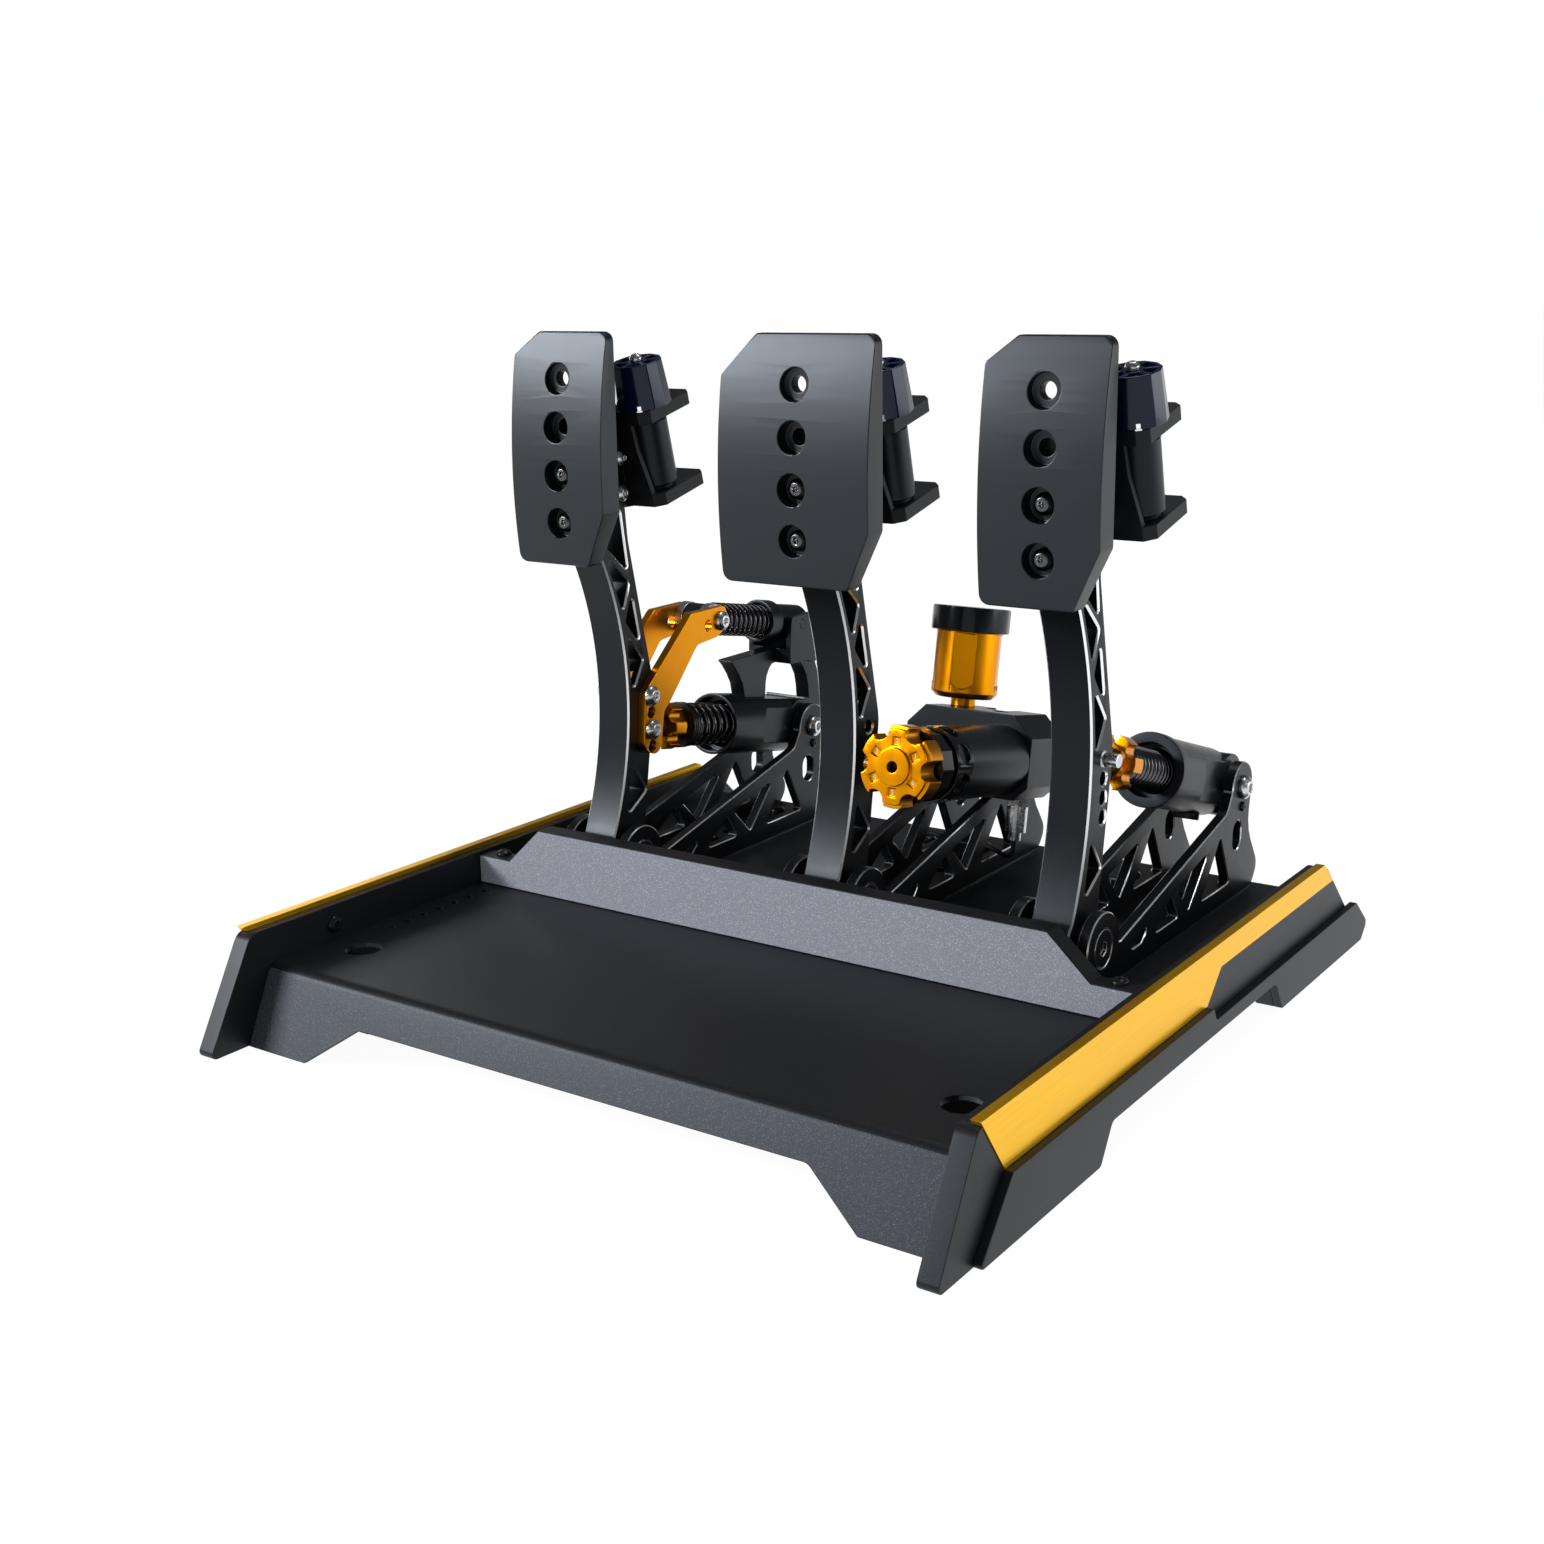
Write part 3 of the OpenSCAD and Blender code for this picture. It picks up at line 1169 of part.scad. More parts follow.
module pressure_sensor() {
    color("#9a9da1") at_unit(brake_x, low_tilt) translate([brake_offset, 0, sensor_s]) rotate([90, 0, 0]) {
        translate([0, 0, -block_low]) cylinder(d = sensor_d + 2, h = 6, $fn = 6);
        translate([0, 0, 6 - block_low]) cylinder(d = sensor_d, h = 15);
        translate([0, 0, 21 - block_low]) cylinder(d = 7, h = -sensor_low - 21 + block_low);
    }
}

// Lead of the pressure sensor: through the brackets' windows and down a hole in the deck
lead_d = 3;
lead_sides = 8;
sensor_y = unit_y - 38.2;
window_y = hinge_y + 0.799 * unit_span;
lead_out = [[36, 0, 21.3], [36, -0.8, 17.5], [35.1, -0.8, 14], [32.9, -0.8, 12], [29.4, -0.8, 12]];
lead_through = [[25.4, -3, 13.5], [20.9, -3, 15], [15.9, -3, 15.5], [8.9, -2, 15], [-0.1, -1, 14],
    [-9.1, 0, 14.5], [-15.1, 1, 15.5], [-20.1, 1, 16], [-25.1, 1, 15.5], [-29.1, 0, 13], [-32.6, -1, 9],
    [-36.6, -2, 5.5], [-42.1, -3, 3], [-48.1, -3, 2.6], [-52.3, -3, 2.2], [-55.4, -3, 0.4],
    [-57.2, -3, -2.8], [-57.6, -3, -6.5], [-57.6, -3, -12]];
lead_route = concat([for (p = lead_out) p + [brake_x, sensor_y, deck_z]],
    [for (p = lead_through) p + [brake_x, window_y, deck_z]]);

function lead_ring(i) =
    let (p = lead_route, last = len(p) - 1)
    let (along = unit(p[min(i + 1, last)] - p[max(i - 1, 0)]), up = unit(cross(along, [0, 1, 0])))
    let (side = cross(along, up))
    [for (k = [0 : lead_sides - 1]) let (a = 360 * (k + 0.5) / lead_sides)
        p[i] + lead_d / 2 * (cos(a) * up + sin(a) * side)];

module sensor_lead() {
    color("#0f0f10") at_base() polyhedron([for (i = [0 : len(lead_route) - 1]) each lead_ring(i)],
        tube_faces(len(lead_route), lead_sides), 4);
}

deck_plate();
heel_stop();
side_plate(-1);  // side_plate_left
side_plate(1);  // side_plate_right
trim(-1);  // trim_left
trim(1);  // trim_right
side_cover(-1);  // side_cover_left
side_cover(1);  // side_cover_right
foot_brackets();
base_screws();
module_bases();
hinge_bolts();
bracket(clutch_x, -1);  // clutch_bracket_left
bracket(clutch_x, 1);  // clutch_bracket_right
bracket(brake_x, -1);  // brake_bracket_left
bracket(brake_x, 1);  // brake_bracket_right
bracket(throttle_x, -1);  // throttle_bracket_left
bracket(throttle_x, 1);  // throttle_bracket_right
sensor_lead();
arm(clutch_x);  // clutch_arm
face(clutch_x, face_w, [15.6, 12]);  // clutch_face
motor_bracket(clutch_x);  // clutch_motor_bracket
motor(clutch_x);  // clutch_motor
motor_cap(clutch_x);  // clutch_motor_cap
clutch_fasteners();
link(-1);  // clutch_link_left
link(1);  // clutch_link_right
arm(brake_x);  // brake_arm
face(brake_x, brake_face_w, [19, 20]);  // brake_face
motor_bracket(brake_x);  // brake_motor_bracket
motor(brake_x);  // brake_motor
motor_cap(brake_x);  // brake_motor_cap
brake_fasteners();
arm(throttle_x);  // throttle_arm
face(throttle_x, face_w, [15.6, 12]);  // throttle_face
motor_bracket(throttle_x);  // throttle_motor_bracket
motor(throttle_x);  // throttle_motor
motor_cap(throttle_x);  // throttle_motor_cap
throttle_fasteners();
clutch_cylinder();
clutch_rod();
clutch_knob();
clutch_spring();
clutch_bridge();
clutch_upper_cylinder();
clutch_upper_rod();
clutch_upper_spring();
throttle_cylinder();
throttle_rod();
throttle_knob();
throttle_spring();
brake_block();
brake_rod();
brake_cylinder();
brake_collar();
brake_knob();
reservoir();
reservoir_cap();
pressure_sensor();
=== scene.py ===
# %% [markdown]
# # A set of racing pedals, dressed for its photograph
# The object is a folded steel base with three pedals: clutch, brake and throttle. Its solids come from CAD
# with every hole and pivot in place. Blender adds what a solid can't show: the finishes, the polished
# edges, smooth springs, the light and the camera.

# %% The CAD frame
import json
import math
import bmesh
import bpy
from mathutils import Matrix, Vector

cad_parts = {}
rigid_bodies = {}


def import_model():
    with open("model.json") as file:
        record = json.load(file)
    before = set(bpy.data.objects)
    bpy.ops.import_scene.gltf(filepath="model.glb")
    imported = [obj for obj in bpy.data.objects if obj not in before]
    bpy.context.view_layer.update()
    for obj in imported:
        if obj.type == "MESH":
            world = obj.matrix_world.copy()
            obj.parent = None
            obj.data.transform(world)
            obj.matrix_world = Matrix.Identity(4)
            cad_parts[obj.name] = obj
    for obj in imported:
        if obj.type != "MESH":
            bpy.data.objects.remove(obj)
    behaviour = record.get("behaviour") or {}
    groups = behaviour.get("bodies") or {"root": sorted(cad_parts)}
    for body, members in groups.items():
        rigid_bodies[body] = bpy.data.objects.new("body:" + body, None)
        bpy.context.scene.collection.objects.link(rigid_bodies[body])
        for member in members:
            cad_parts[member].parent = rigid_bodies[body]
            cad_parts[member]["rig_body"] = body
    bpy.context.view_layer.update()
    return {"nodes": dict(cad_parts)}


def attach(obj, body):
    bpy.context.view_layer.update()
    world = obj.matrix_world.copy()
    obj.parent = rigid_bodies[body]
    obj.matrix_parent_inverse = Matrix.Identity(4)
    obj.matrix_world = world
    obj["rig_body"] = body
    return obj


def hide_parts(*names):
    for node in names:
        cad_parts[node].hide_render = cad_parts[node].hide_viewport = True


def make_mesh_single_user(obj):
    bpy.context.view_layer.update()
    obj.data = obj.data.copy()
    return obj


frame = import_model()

nodes = frame["nodes"]
print("CAD nodes:", len(nodes))

# %% [markdown]
# Sizes in the CAD source are millimetres, with places along Y counted from the front edge.
# One small helper turns such a place into metres in the shared frame, so that every number below can be
# compared with the source.

# %% Places
MM = 0.001
FRONT_EDGE = -245.5


def place(x, y, z):
    """A point in metres from millimetres, with y counted from the front edge of the base."""
    return Vector((x, y + FRONT_EDGE, z)) * MM


CLUTCH_X, BRAKE_X, THROTTLE_X = -134.7, 15.1, 148.6
UNIT_Y, UNIT_Z = 410.0, 101.4
LOW_TILT = math.atan2(28.6, 154.0)
THROTTLE_TILT = math.atan2(48.1, 154.0)
UPPER_Z = 166.0
UPPER_TILT = math.atan2(15.5, 86.2)


def rod_frame(x, y, z, tilt):
    """Frame at a rear pivot: Z runs along the rod to the pedal, Y is square to it, upwards."""
    return Matrix.Translation(place(x, y, z)) @ Matrix.Rotation(math.pi / 2 - tilt, 4, "X")


THROTTLE_ROD = rod_frame(THROTTLE_X, UNIT_Y, UNIT_Z, THROTTLE_TILT)
CLUTCH_ROD = rod_frame(CLUTCH_X, UNIT_Y, UNIT_Z, LOW_TILT)
BRAKE_ROD = rod_frame(BRAKE_X, UNIT_Y, UNIT_Z, LOW_TILT)
UPPER_ROD = rod_frame(CLUTCH_X, UNIT_Y, UPPER_Z, UPPER_TILT)

# %% [markdown]
# The camera comes first. Its place, angle and lens were worked out from edges whose real
# directions are known, so the render can be laid over the photograph.

# %% Camera
CAMERA_AT = Vector((0.5437, -0.8185, 0.3823))
CAMERA_AZIMUTH, CAMERA_PITCH, CAMERA_ROLL = math.radians(34.98), math.radians(14.73), -0.0167
FOCAL_PX, PICTURE_PX, SENSOR_MM = 1924.67, 1544, 36.0

forward = Vector((
    -math.sin(CAMERA_AZIMUTH) * math.cos(CAMERA_PITCH),
    math.cos(CAMERA_AZIMUTH) * math.cos(CAMERA_PITCH),
    -math.sin(CAMERA_PITCH),
))
level = Vector((math.cos(CAMERA_AZIMUTH), math.sin(CAMERA_AZIMUTH), 0.0))
upright = level.cross(forward)
right = math.cos(CAMERA_ROLL) * level + math.sin(CAMERA_ROLL) * upright
up = math.cos(CAMERA_ROLL) * upright - math.sin(CAMERA_ROLL) * level

camera_data = bpy.data.cameras.new("camera")
camera_data.sensor_width = SENSOR_MM
camera_data.lens = FOCAL_PX / PICTURE_PX * SENSOR_MM
camera_data.clip_start = 0.01
camera = bpy.data.objects.new("camera", camera_data)
bpy.context.scene.collection.objects.link(camera)
turn = Matrix((right, up, -forward)).transposed().to_4x4()
camera.matrix_world = Matrix.Translation(CAMERA_AT) @ turn
bpy.context.scene.camera = camera
print("lens", round(camera_data.lens, 2), "mm")

# %% [markdown]
# ## Finishes
# Every finish is a node tree on Object coordinates, which are metres here, so a noise scale of 2500
# gives grains of about 0.4 mm. One helper starts each tree, a second one adds grain to it.


# %% Material helpers
COOL = (0.80, 0.89, 1.0, 1.0)


def finish(name, colour, roughness, metallic=0.0, coat=0.0, specular=0.5):
    """A new material with a Principled shader; returns the material, its shader and its tree."""
    material = bpy.data.materials.new(name)
    material.use_nodes = True
    tree = material.node_tree
    shader = tree.nodes["Principled BSDF"]
    shader.inputs["Base Color"].default_value = (*colour, 1.0)
    shader.inputs["Roughness"].default_value = roughness
    shader.inputs["Metallic"].default_value = metallic
    shader.inputs["Coat Weight"].default_value = coat
    shader.inputs["Specular IOR Level"].default_value = specular
    if not metallic:
        shader.inputs["Specular Tint"].default_value = COOL
    return material, shader, tree


def pattern(tree, kind, scale, stretch=(1, 1, 1), detail=3.0):
    """A noise or Voronoi pattern on Object coordinates; returns its node."""
    coordinates = tree.nodes.new("ShaderNodeTexCoord")
    mapping = tree.nodes.new("ShaderNodeMapping")
    mapping.inputs["Scale"].default_value = stretch
    texture = tree.nodes.new(f"ShaderNodeTex{kind}")
    texture.inputs["Scale"].default_value = scale
    if "Detail" in texture.inputs:
        texture.inputs["Detail"].default_value = detail
    tree.links.new(coordinates.outputs["Object"], mapping.inputs["Vector"])
    tree.links.new(mapping.outputs["Vector"], texture.inputs["Vector"])
    return texture


def ramp(tree, value, stops):
    """A colour ramp with (place, grey or colour) stops, fed by value."""
    node = tree.nodes.new("ShaderNodeValToRGB")
    elements = node.color_ramp.elements
    while len(elements) < len(stops):
        elements.new(0.5)
    for element, (where, colour) in zip(elements, stops):
        element.position = where
        grey = isinstance(colour, (int, float))
        element.color = (colour, colour, colour, 1.0) if grey else (*colour, 1.0)
    tree.links.new(value, node.inputs["Fac"])
    return node


def bump(tree, shader, height, depth, strength=1.0):
    """Relief of a real depth in metres from a height between 0 and 1."""
    node = tree.nodes.new("ShaderNodeBump")
    node.inputs["Distance"].default_value = depth
    node.inputs["Strength"].default_value = strength
    tree.links.new(height, node.inputs["Height"])
    tree.links.new(node.outputs["Normal"], shader.inputs["Normal"])
    return node


# %% [markdown]
# Powder coat is plastic dust melted on steel. It has a fine orange peel and, on this set, paler specks.
# The deck and the plates have the same coat, darker and finer. The front-facing faces of the deck's flange
# and of the heel stop get paler copies of the deck's coat, which is painted light from the front.


# %% Powder coats
def powder_coat(name, colour, speck, roughness, depth):
    """Textured powder coat: grains of about 0.5 mm with paler tips."""
    material, shader, tree = finish(name, colour, roughness, specular=0.3)
    grain = pattern(tree, "Noise", 1900, detail=2.0)
    tips = ramp(tree, grain.outputs["Fac"], [(0.0, colour), (0.56, colour), (0.74, speck)])
    tree.links.new(tips.outputs["Color"], shader.inputs["Base Color"])
    bump(tree, shader, grain.outputs["Fac"], depth)
    return material


deck_coat = powder_coat("deck_coat", (0.0045, 0.005, 0.0065), (0.017, 0.018, 0.022), 0.46, 0.00006)
# Paler copy of the deck coat for the flange's front-facing faces: painted light, not a different coat.
flange_front_painted_light = powder_coat("flange_front_painted_light", (0.034, 0.038, 0.047), (0.15, 0.16, 0.185), 0.46, 0.00007)
# Much paler copy of the deck coat for the heel stop's front faces: painted light, not a different coat.
heel_front_painted_light = powder_coat("heel_front_painted_light", (0.27, 0.285, 0.34), (0.64, 0.66, 0.72), 0.5, 0.00009)
plate_coat = powder_coat("plate_coat", (0.007, 0.0075, 0.009), (0.020, 0.021, 0.024), 0.42, 0.00005)
print("powder coats: deck, heel stop, side plates")

# %% [markdown]
# Anodised aluminium keeps the grain of the metal under its dye. Satin black is nearly
# a dielectric, while the gold still shines like metal. The trim was brushed along its length before it
# was dyed, so its noise is stretched along Y.


# %% Metals
def satin(name, colour, roughness, metallic, spread=0.04, specular=0.5):
    """Bead-blasted and anodised metal, with a faint cloud in its roughness."""
    material, shader, tree = finish(name, colour, roughness, metallic, specular=specular)
    cloud = pattern(tree, "Noise", 90, detail=4.0)
    tone = ramp(tree, cloud.outputs["Fac"], [(0.3, roughness - spread / 2), (0.7, roughness + spread / 2)])
    tree.links.new(tone.outputs["Color"], shader.inputs["Roughness"])
    grain = pattern(tree, "Noise", 2800, detail=1.0)
    bump(tree, shader, grain.outputs["Fac"], 0.000006)
    return material


def brushed(name, colour, roughness, stretch, depth=0.00002):
    """Metal brushed one way: long thin scratches in bump, tone and roughness."""
    material, shader, tree = finish(name, colour, roughness, 1.0)
    scratches = pattern(tree, "Noise", 1.0, stretch, detail=5.0)
    tone = ramp(tree, scratches.outputs["Fac"], [
        (0.25, tuple(0.88 * c for c in colour)), (0.6, tuple(min(1.0, 1.06 * c) for c in colour))])
    tree.links.new(tone.outputs["Color"], shader.inputs["Base Color"])
    rough = ramp(tree, scratches.outputs["Fac"], [(0.3, roughness - 0.06), (0.7, roughness + 0.08)])
    tree.links.new(rough.outputs["Color"], shader.inputs["Roughness"])
    bump(tree, shader, scratches.outputs["Fac"], depth)
    return material


satin_black = satin("satin_black", (0.0036, 0.004, 0.005), 0.34, 0.0, specular=0.26)
body_black = satin("body_black", (0.004, 0.0045, 0.006), 0.3, 0.0, specular=0.32)
face_black = satin("face_black", (0.0035, 0.004, 0.0055), 0.37, 0.0, 0.01, 0.46)
gold = satin("gold", (0.74, 0.28, 0.002), 0.3, 1.0, 0.06)
trim_gold = brushed("trim_gold", (1.0, 0.535, 0.016), 0.36, (2600, 26, 2600))
steel = brushed("steel", (0.62, 0.63, 0.65), 0.26, (700, 700, 700))
dark_steel = brushed("dark_steel", (0.09, 0.09, 0.095), 0.25, (700, 700, 700))
polished = finish("polished", (0.93, 0.94, 0.96), 0.3, 1.0)[0]
black_steel = satin("black_steel", (0.010, 0.010, 0.012), 0.28, 0.3)
spring_black = satin("spring_black", (0.10, 0.10, 0.11), 0.2, 1.0)
gloss_black = finish("gloss_black", (0.003, 0.003, 0.004), 0.16, specular=0.4)[0]
print("metals:", len(bpy.data.materials), "materials so far")


# %% Plastics and rubber
def moulded(name, colour, roughness, grain_scale, depth, coat=0.0):
    """Moulded plastic with the fine grain of its tool."""
    material, shader, tree = finish(name, colour, roughness, coat=coat, specular=0.26)
    grain = pattern(tree, "Noise", grain_scale, detail=2.0)
    bump(tree, shader, grain.outputs["Fac"], depth)
    return material


motor_plastic = moulded("motor_plastic", (0.006, 0.006, 0.007), 0.5, 3200, 0.00003)
can_black = moulded("can_black", (0.005, 0.005, 0.006), 0.36, 2400, 0.00001)
cap_black = moulded("cap_black", (0.005, 0.005, 0.006), 0.2, 1400, 0.000006, coat=0.15)
jacket = moulded("jacket", (0.010, 0.010, 0.010), 0.5, 2600, 0.00002)
cap_blue = moulded("cap_blue", (0.003, 0.0065, 0.032), 0.14, 900, 0.000006, coat=0.12)
print("plastics: motor, can, caps, cable jacket")

# %% [markdown]
# ## The sensor's lead
# The pressure sensor under the brake's reservoir has a thin lead that runs through the windows of the
# brake brackets and down a hole in the deck. It is made as a curve before anything else is made, on the
# same points as in the CAD source.

# %% Lead
LEAD_D = 3.0
SENSOR_Y, WINDOW_Y = 371.8, 375.026
LEAD_ROUTE = [
    (BRAKE_X + x, y, 40 + z) for x, y, z in (
        (36, SENSOR_Y, 21.3), (36, SENSOR_Y - 0.8, 17.5), (35.1, SENSOR_Y - 0.8, 14),
        (32.9, SENSOR_Y - 0.8, 12), (29.4, SENSOR_Y - 0.8, 12), (25.4, WINDOW_Y - 3, 13.5),
        (20.9, WINDOW_Y - 3, 15), (15.9, WINDOW_Y - 3, 15.5), (8.9, WINDOW_Y - 2, 15),
        (-0.1, WINDOW_Y - 1, 14), (-9.1, WINDOW_Y, 14.5), (-15.1, WINDOW_Y + 1, 15.5),
        (-20.1, WINDOW_Y + 1, 16), (-25.1, WINDOW_Y + 1, 15.5), (-29.1, WINDOW_Y, 13),
        (-32.6, WINDOW_Y - 1, 9), (-36.6, WINDOW_Y - 2, 5.5), (-42.1, WINDOW_Y - 3, 3),
        (-48.1, WINDOW_Y - 3, 2.6), (-52.3, WINDOW_Y - 3, 2.2), (-55.4, WINDOW_Y - 3, 0.4),
        (-57.2, WINDOW_Y - 3, -2.8), (-57.6, WINDOW_Y - 3, -6.5), (-57.6, WINDOW_Y - 3, -12))]


def lead_curve():
    """The lead as one open curve with a round profile."""
    data = bpy.data.curves.new("sensor_lead_jacket", "CURVE")
    data.dimensions = "3D"
    data.bevel_depth = LEAD_D / 2 * MM
    data.bevel_resolution = 4
    data.use_fill_caps = True
    line = data.splines.new("POLY")
    line.points.add(len(LEAD_ROUTE) - 1)
    for point, where in zip(line.points, LEAD_ROUTE):
        point.co = (*place(*where), 1.0)
    piece = bpy.data.objects.new("sensor_lead_jacket", data)
    bpy.context.scene.collection.objects.link(piece)
    data.materials.append(jacket)
    return piece


lead = lead_curve()
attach(lead, "base")
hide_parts("sensor_lead")

# %% [markdown]
# ## Edges
# Machined plates have their edges broken by a chamfer, and a chamfer that is cut after anodising stays
# bright. A CAD mesh is loose triangles, so a copy is merged and its flat faces are joined first. Then
# the sharp edges are bevelled, and the new narrow faces get their own finish.


# %% Edge helper
def own_mesh(piece, node):
    """Make a piece stand for a CAD node: same body, and the node hidden."""
    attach(piece, nodes[node]["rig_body"])
    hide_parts(node)


def even_shading(piece):
    """Weight the normals by face area, so that large faces stay flat up to their bevels."""
    modifier = piece.modifiers.new("weighted", "WEIGHTED_NORMAL")
    modifier.keep_sharp = True
    depsgraph = bpy.context.evaluated_depsgraph_get()
    mesh = bpy.data.meshes.new_from_object(piece.evaluated_get(depsgraph),
                                           preserve_all_data_layers=True, depsgraph=depsgraph)
    piece.modifiers.clear()
    piece.data = mesh


SHARES = (1.0, 0.7, 0.45, 0.25, 0.1)


def bevelled(mesh, width, segments, sharp, where):
    """A bmesh form of a mesh with bevelled edges, and the area of triangles that folded over.

    Where a bevel is wider than a small feature, triangles fold over in their plane; they are turned back.
    """
    form = bmesh.new()
    form.from_mesh(mesh)
    bmesh.ops.remove_doubles(form, verts=form.verts, dist=2e-6)
    bmesh.ops.dissolve_limit(form, angle_limit=math.radians(0.5), verts=form.verts, edges=form.edges)
    form.normal_update()
    limit = math.radians(sharp)
    edges = [e for e in form.edges if len(e.link_faces) == 2 and e.calc_face_angle(0.0) > limit]
    for polygon in form.faces:
        polygon.material_index = 2 if where and where(polygon.calc_center_median(), polygon.normal) else 0
        polygon.smooth = True
    bmesh.ops.bevel(form, geom=edges, offset=width * MM, offset_type="OFFSET", segments=segments,
                    profile=0.5, affect="EDGES", clamp_overlap=False, material=1, loop_slide=True)
    form.normal_update()
    was = form.faces.layers.float_vector.new("was")
    for polygon in form.faces:
        polygon[was] = polygon.normal
    bmesh.ops.triangulate(form, faces=[f for f in form.faces if len(f.verts) > 4])
    form.normal_update()
    folded = [f for f in form.faces if f.normal.dot(f[was]) < 0]
    area = sum(f.calc_area() for f in folded)
    bmesh.ops.reverse_faces(form, faces=folded)
    form.faces.layers.float_vector.remove(was)
    return form, area


def dressed(node, width, face, edge=None, segments=1, sharp=28.0, third=None, where=None):
    """A copy of a CAD node with its sharp edges bevelled by width in mm.

    Faces get one finish and the bevels another; faces for which where(centre, normal) holds get a third.
    Where a bevel is too wide for a small feature, a narrower one is tried.
    """
    mesh = nodes[node].data.copy()
    mesh.materials.clear()
    for material in (face, edge or face, third or face):
        mesh.materials.append(material)
    piece = bpy.data.objects.new(node + "_finished", mesh)
    bpy.context.scene.collection.objects.link(piece)
    form, least = bevelled(mesh, width * SHARES[-1], segments, sharp, where)
    for share in SHARES:
        form.free()
        form, folded = bevelled(mesh, width * share, segments, sharp, where)
        if folded < least + 40 * MM * MM:
            break
    form.to_mesh(mesh)
    form.free()
    mesh.set_sharp_from_angle(angle=math.radians(30))
    even_shading(piece)
    own_mesh(piece, node)
    return piece


# %% [markdown]
# The sheet parts of the base are folded, so their edges are only deburred. The side plates
# and their covers are thick and have a small round.

# %% Base
for name, width, coat in (
        ("side_plate_left", 0.6, plate_coat), ("side_plate_right", 0.6, plate_coat),
        ("side_cover_left", 0.6, plate_coat), ("side_cover_right", 0.6, plate_coat),
        ("foot_brackets", 0.4, plate_coat), ("module_bases", 0.3, satin_black)):
    dressed(name, width, coat, segments=2)
# The deck's front-facing flange faces get the paler copy, which is painted light from the front.
dressed("deck_plate", 0.5, deck_coat, segments=2, third=flange_front_painted_light, where=lambda at, n: n.y < -0.8)
# The heel stop's front-facing faces get the pale copy, which is painted light from the front.
dressed("heel_stop", 0.6, deck_coat, segments=2, third=heel_front_painted_light, where=lambda at, n: n.y < -0.9)
for name in ("trim_left", "trim_right"):
    dressed(name, 0.3, trim_gold, segments=1)
print("base: 10 pieces")

# %% [markdown]
# The arms, brackets and faces are milled from plate. Their chamfers are the brightest lines in the
# photograph, so they are wider and polished.

# %% Arms, brackets and faces
for pedal in ("clutch", "brake", "throttle"):
    dressed(pedal + "_arm", 0.9, satin_black, polished)
    dressed(pedal + "_face", 0.7, face_black, face_black, segments=2)
    dressed(pedal + "_motor_bracket", 0.4, motor_plastic, segments=2)
    for side in ("left", "right"):
        dressed(f"{pedal}_bracket_{side}", 0.6, satin_black, polished)
for side in ("left", "right"):
    dressed("clutch_link_" + side, 0.4, gold, gold, segments=2)
print("milled parts: 17 pieces")

# %% Spring units
for name in ("throttle_cylinder", "clutch_cylinder", "clutch_upper_cylinder", "brake_cylinder",
             "clutch_bridge", "brake_block"):
    dressed(name, 0.45, body_black, segments=2)
for name in ("throttle_rod", "clutch_rod", "clutch_upper_rod", "brake_rod"):
    dressed(name, 0.3, black_steel, segments=2)
for name in ("throttle_knob", "clutch_knob", "brake_knob", "reservoir"):
    dressed(name, 0.5, gold, segments=2)
dressed("brake_collar", 0.4, gloss_black, segments=2)
dressed("reservoir_cap", 0.8, cap_black, segments=2)
dressed("pressure_sensor", 0.3, steel, segments=2)

# %% Motors and fasteners
for pedal in ("clutch", "brake", "throttle"):
    dressed(pedal + "_motor", 0.3, can_black, segments=2)
    dressed(pedal + "_motor_cap", 0.5, cap_blue, segments=2)
    dressed(pedal + "_fasteners", 0.3, steel, polished, third=dark_steel,
            where=lambda at, n: at.y < -0.0138 and at.z > 0.24)
dressed("hinge_bolts", 0.3, steel, polished, third=black_steel, where=lambda at, n: at.y < 0.05)
dressed("base_screws", 0.2, black_steel, segments=1)

# %% [markdown]
# The adjuster wheel of the brake has plain numbers in its six pockets, and each motor's cap has a small
# bright foot. Both are too small to be solids of their own.


# %% Numbers and feet
def piece_of(name, form, material):
    """A new object from a bmesh form."""
    mesh = bpy.data.meshes.new(name)
    form.to_mesh(mesh)
    form.free()
    mesh.materials.append(material)
    piece = bpy.data.objects.new(name, mesh)
    bpy.context.scene.collection.objects.link(piece)
    return piece


def numbers():
    """Numbers 1 to 6, upright in the pockets of the brake's wheel."""
    wheel = BRAKE_ROD @ Matrix.Translation(Vector((36, 1.5, 173.05)) * MM)
    form = bmesh.new()
    for k in range(6):
        text = bpy.data.curves.new("number", "FONT")
        text.body = str(k + 1)
        text.size = 3.8 * MM
        text.align_x = text.align_y = "CENTER"
        holder = bpy.data.objects.new("number", text)
        bpy.context.scene.collection.objects.link(holder)
        depsgraph = bpy.context.evaluated_depsgraph_get()
        mesh = bpy.data.meshes.new_from_object(holder.evaluated_get(depsgraph), depsgraph=depsgraph)
        bpy.data.objects.remove(holder)
        turn = math.radians(30 + 60 * k)
        mesh.transform(wheel @ Matrix.Translation(Vector((math.cos(turn), math.sin(turn), 0)) * 13.2 * MM))
        form.from_mesh(mesh)
    return piece_of("knob_numbers", form, number_grey)


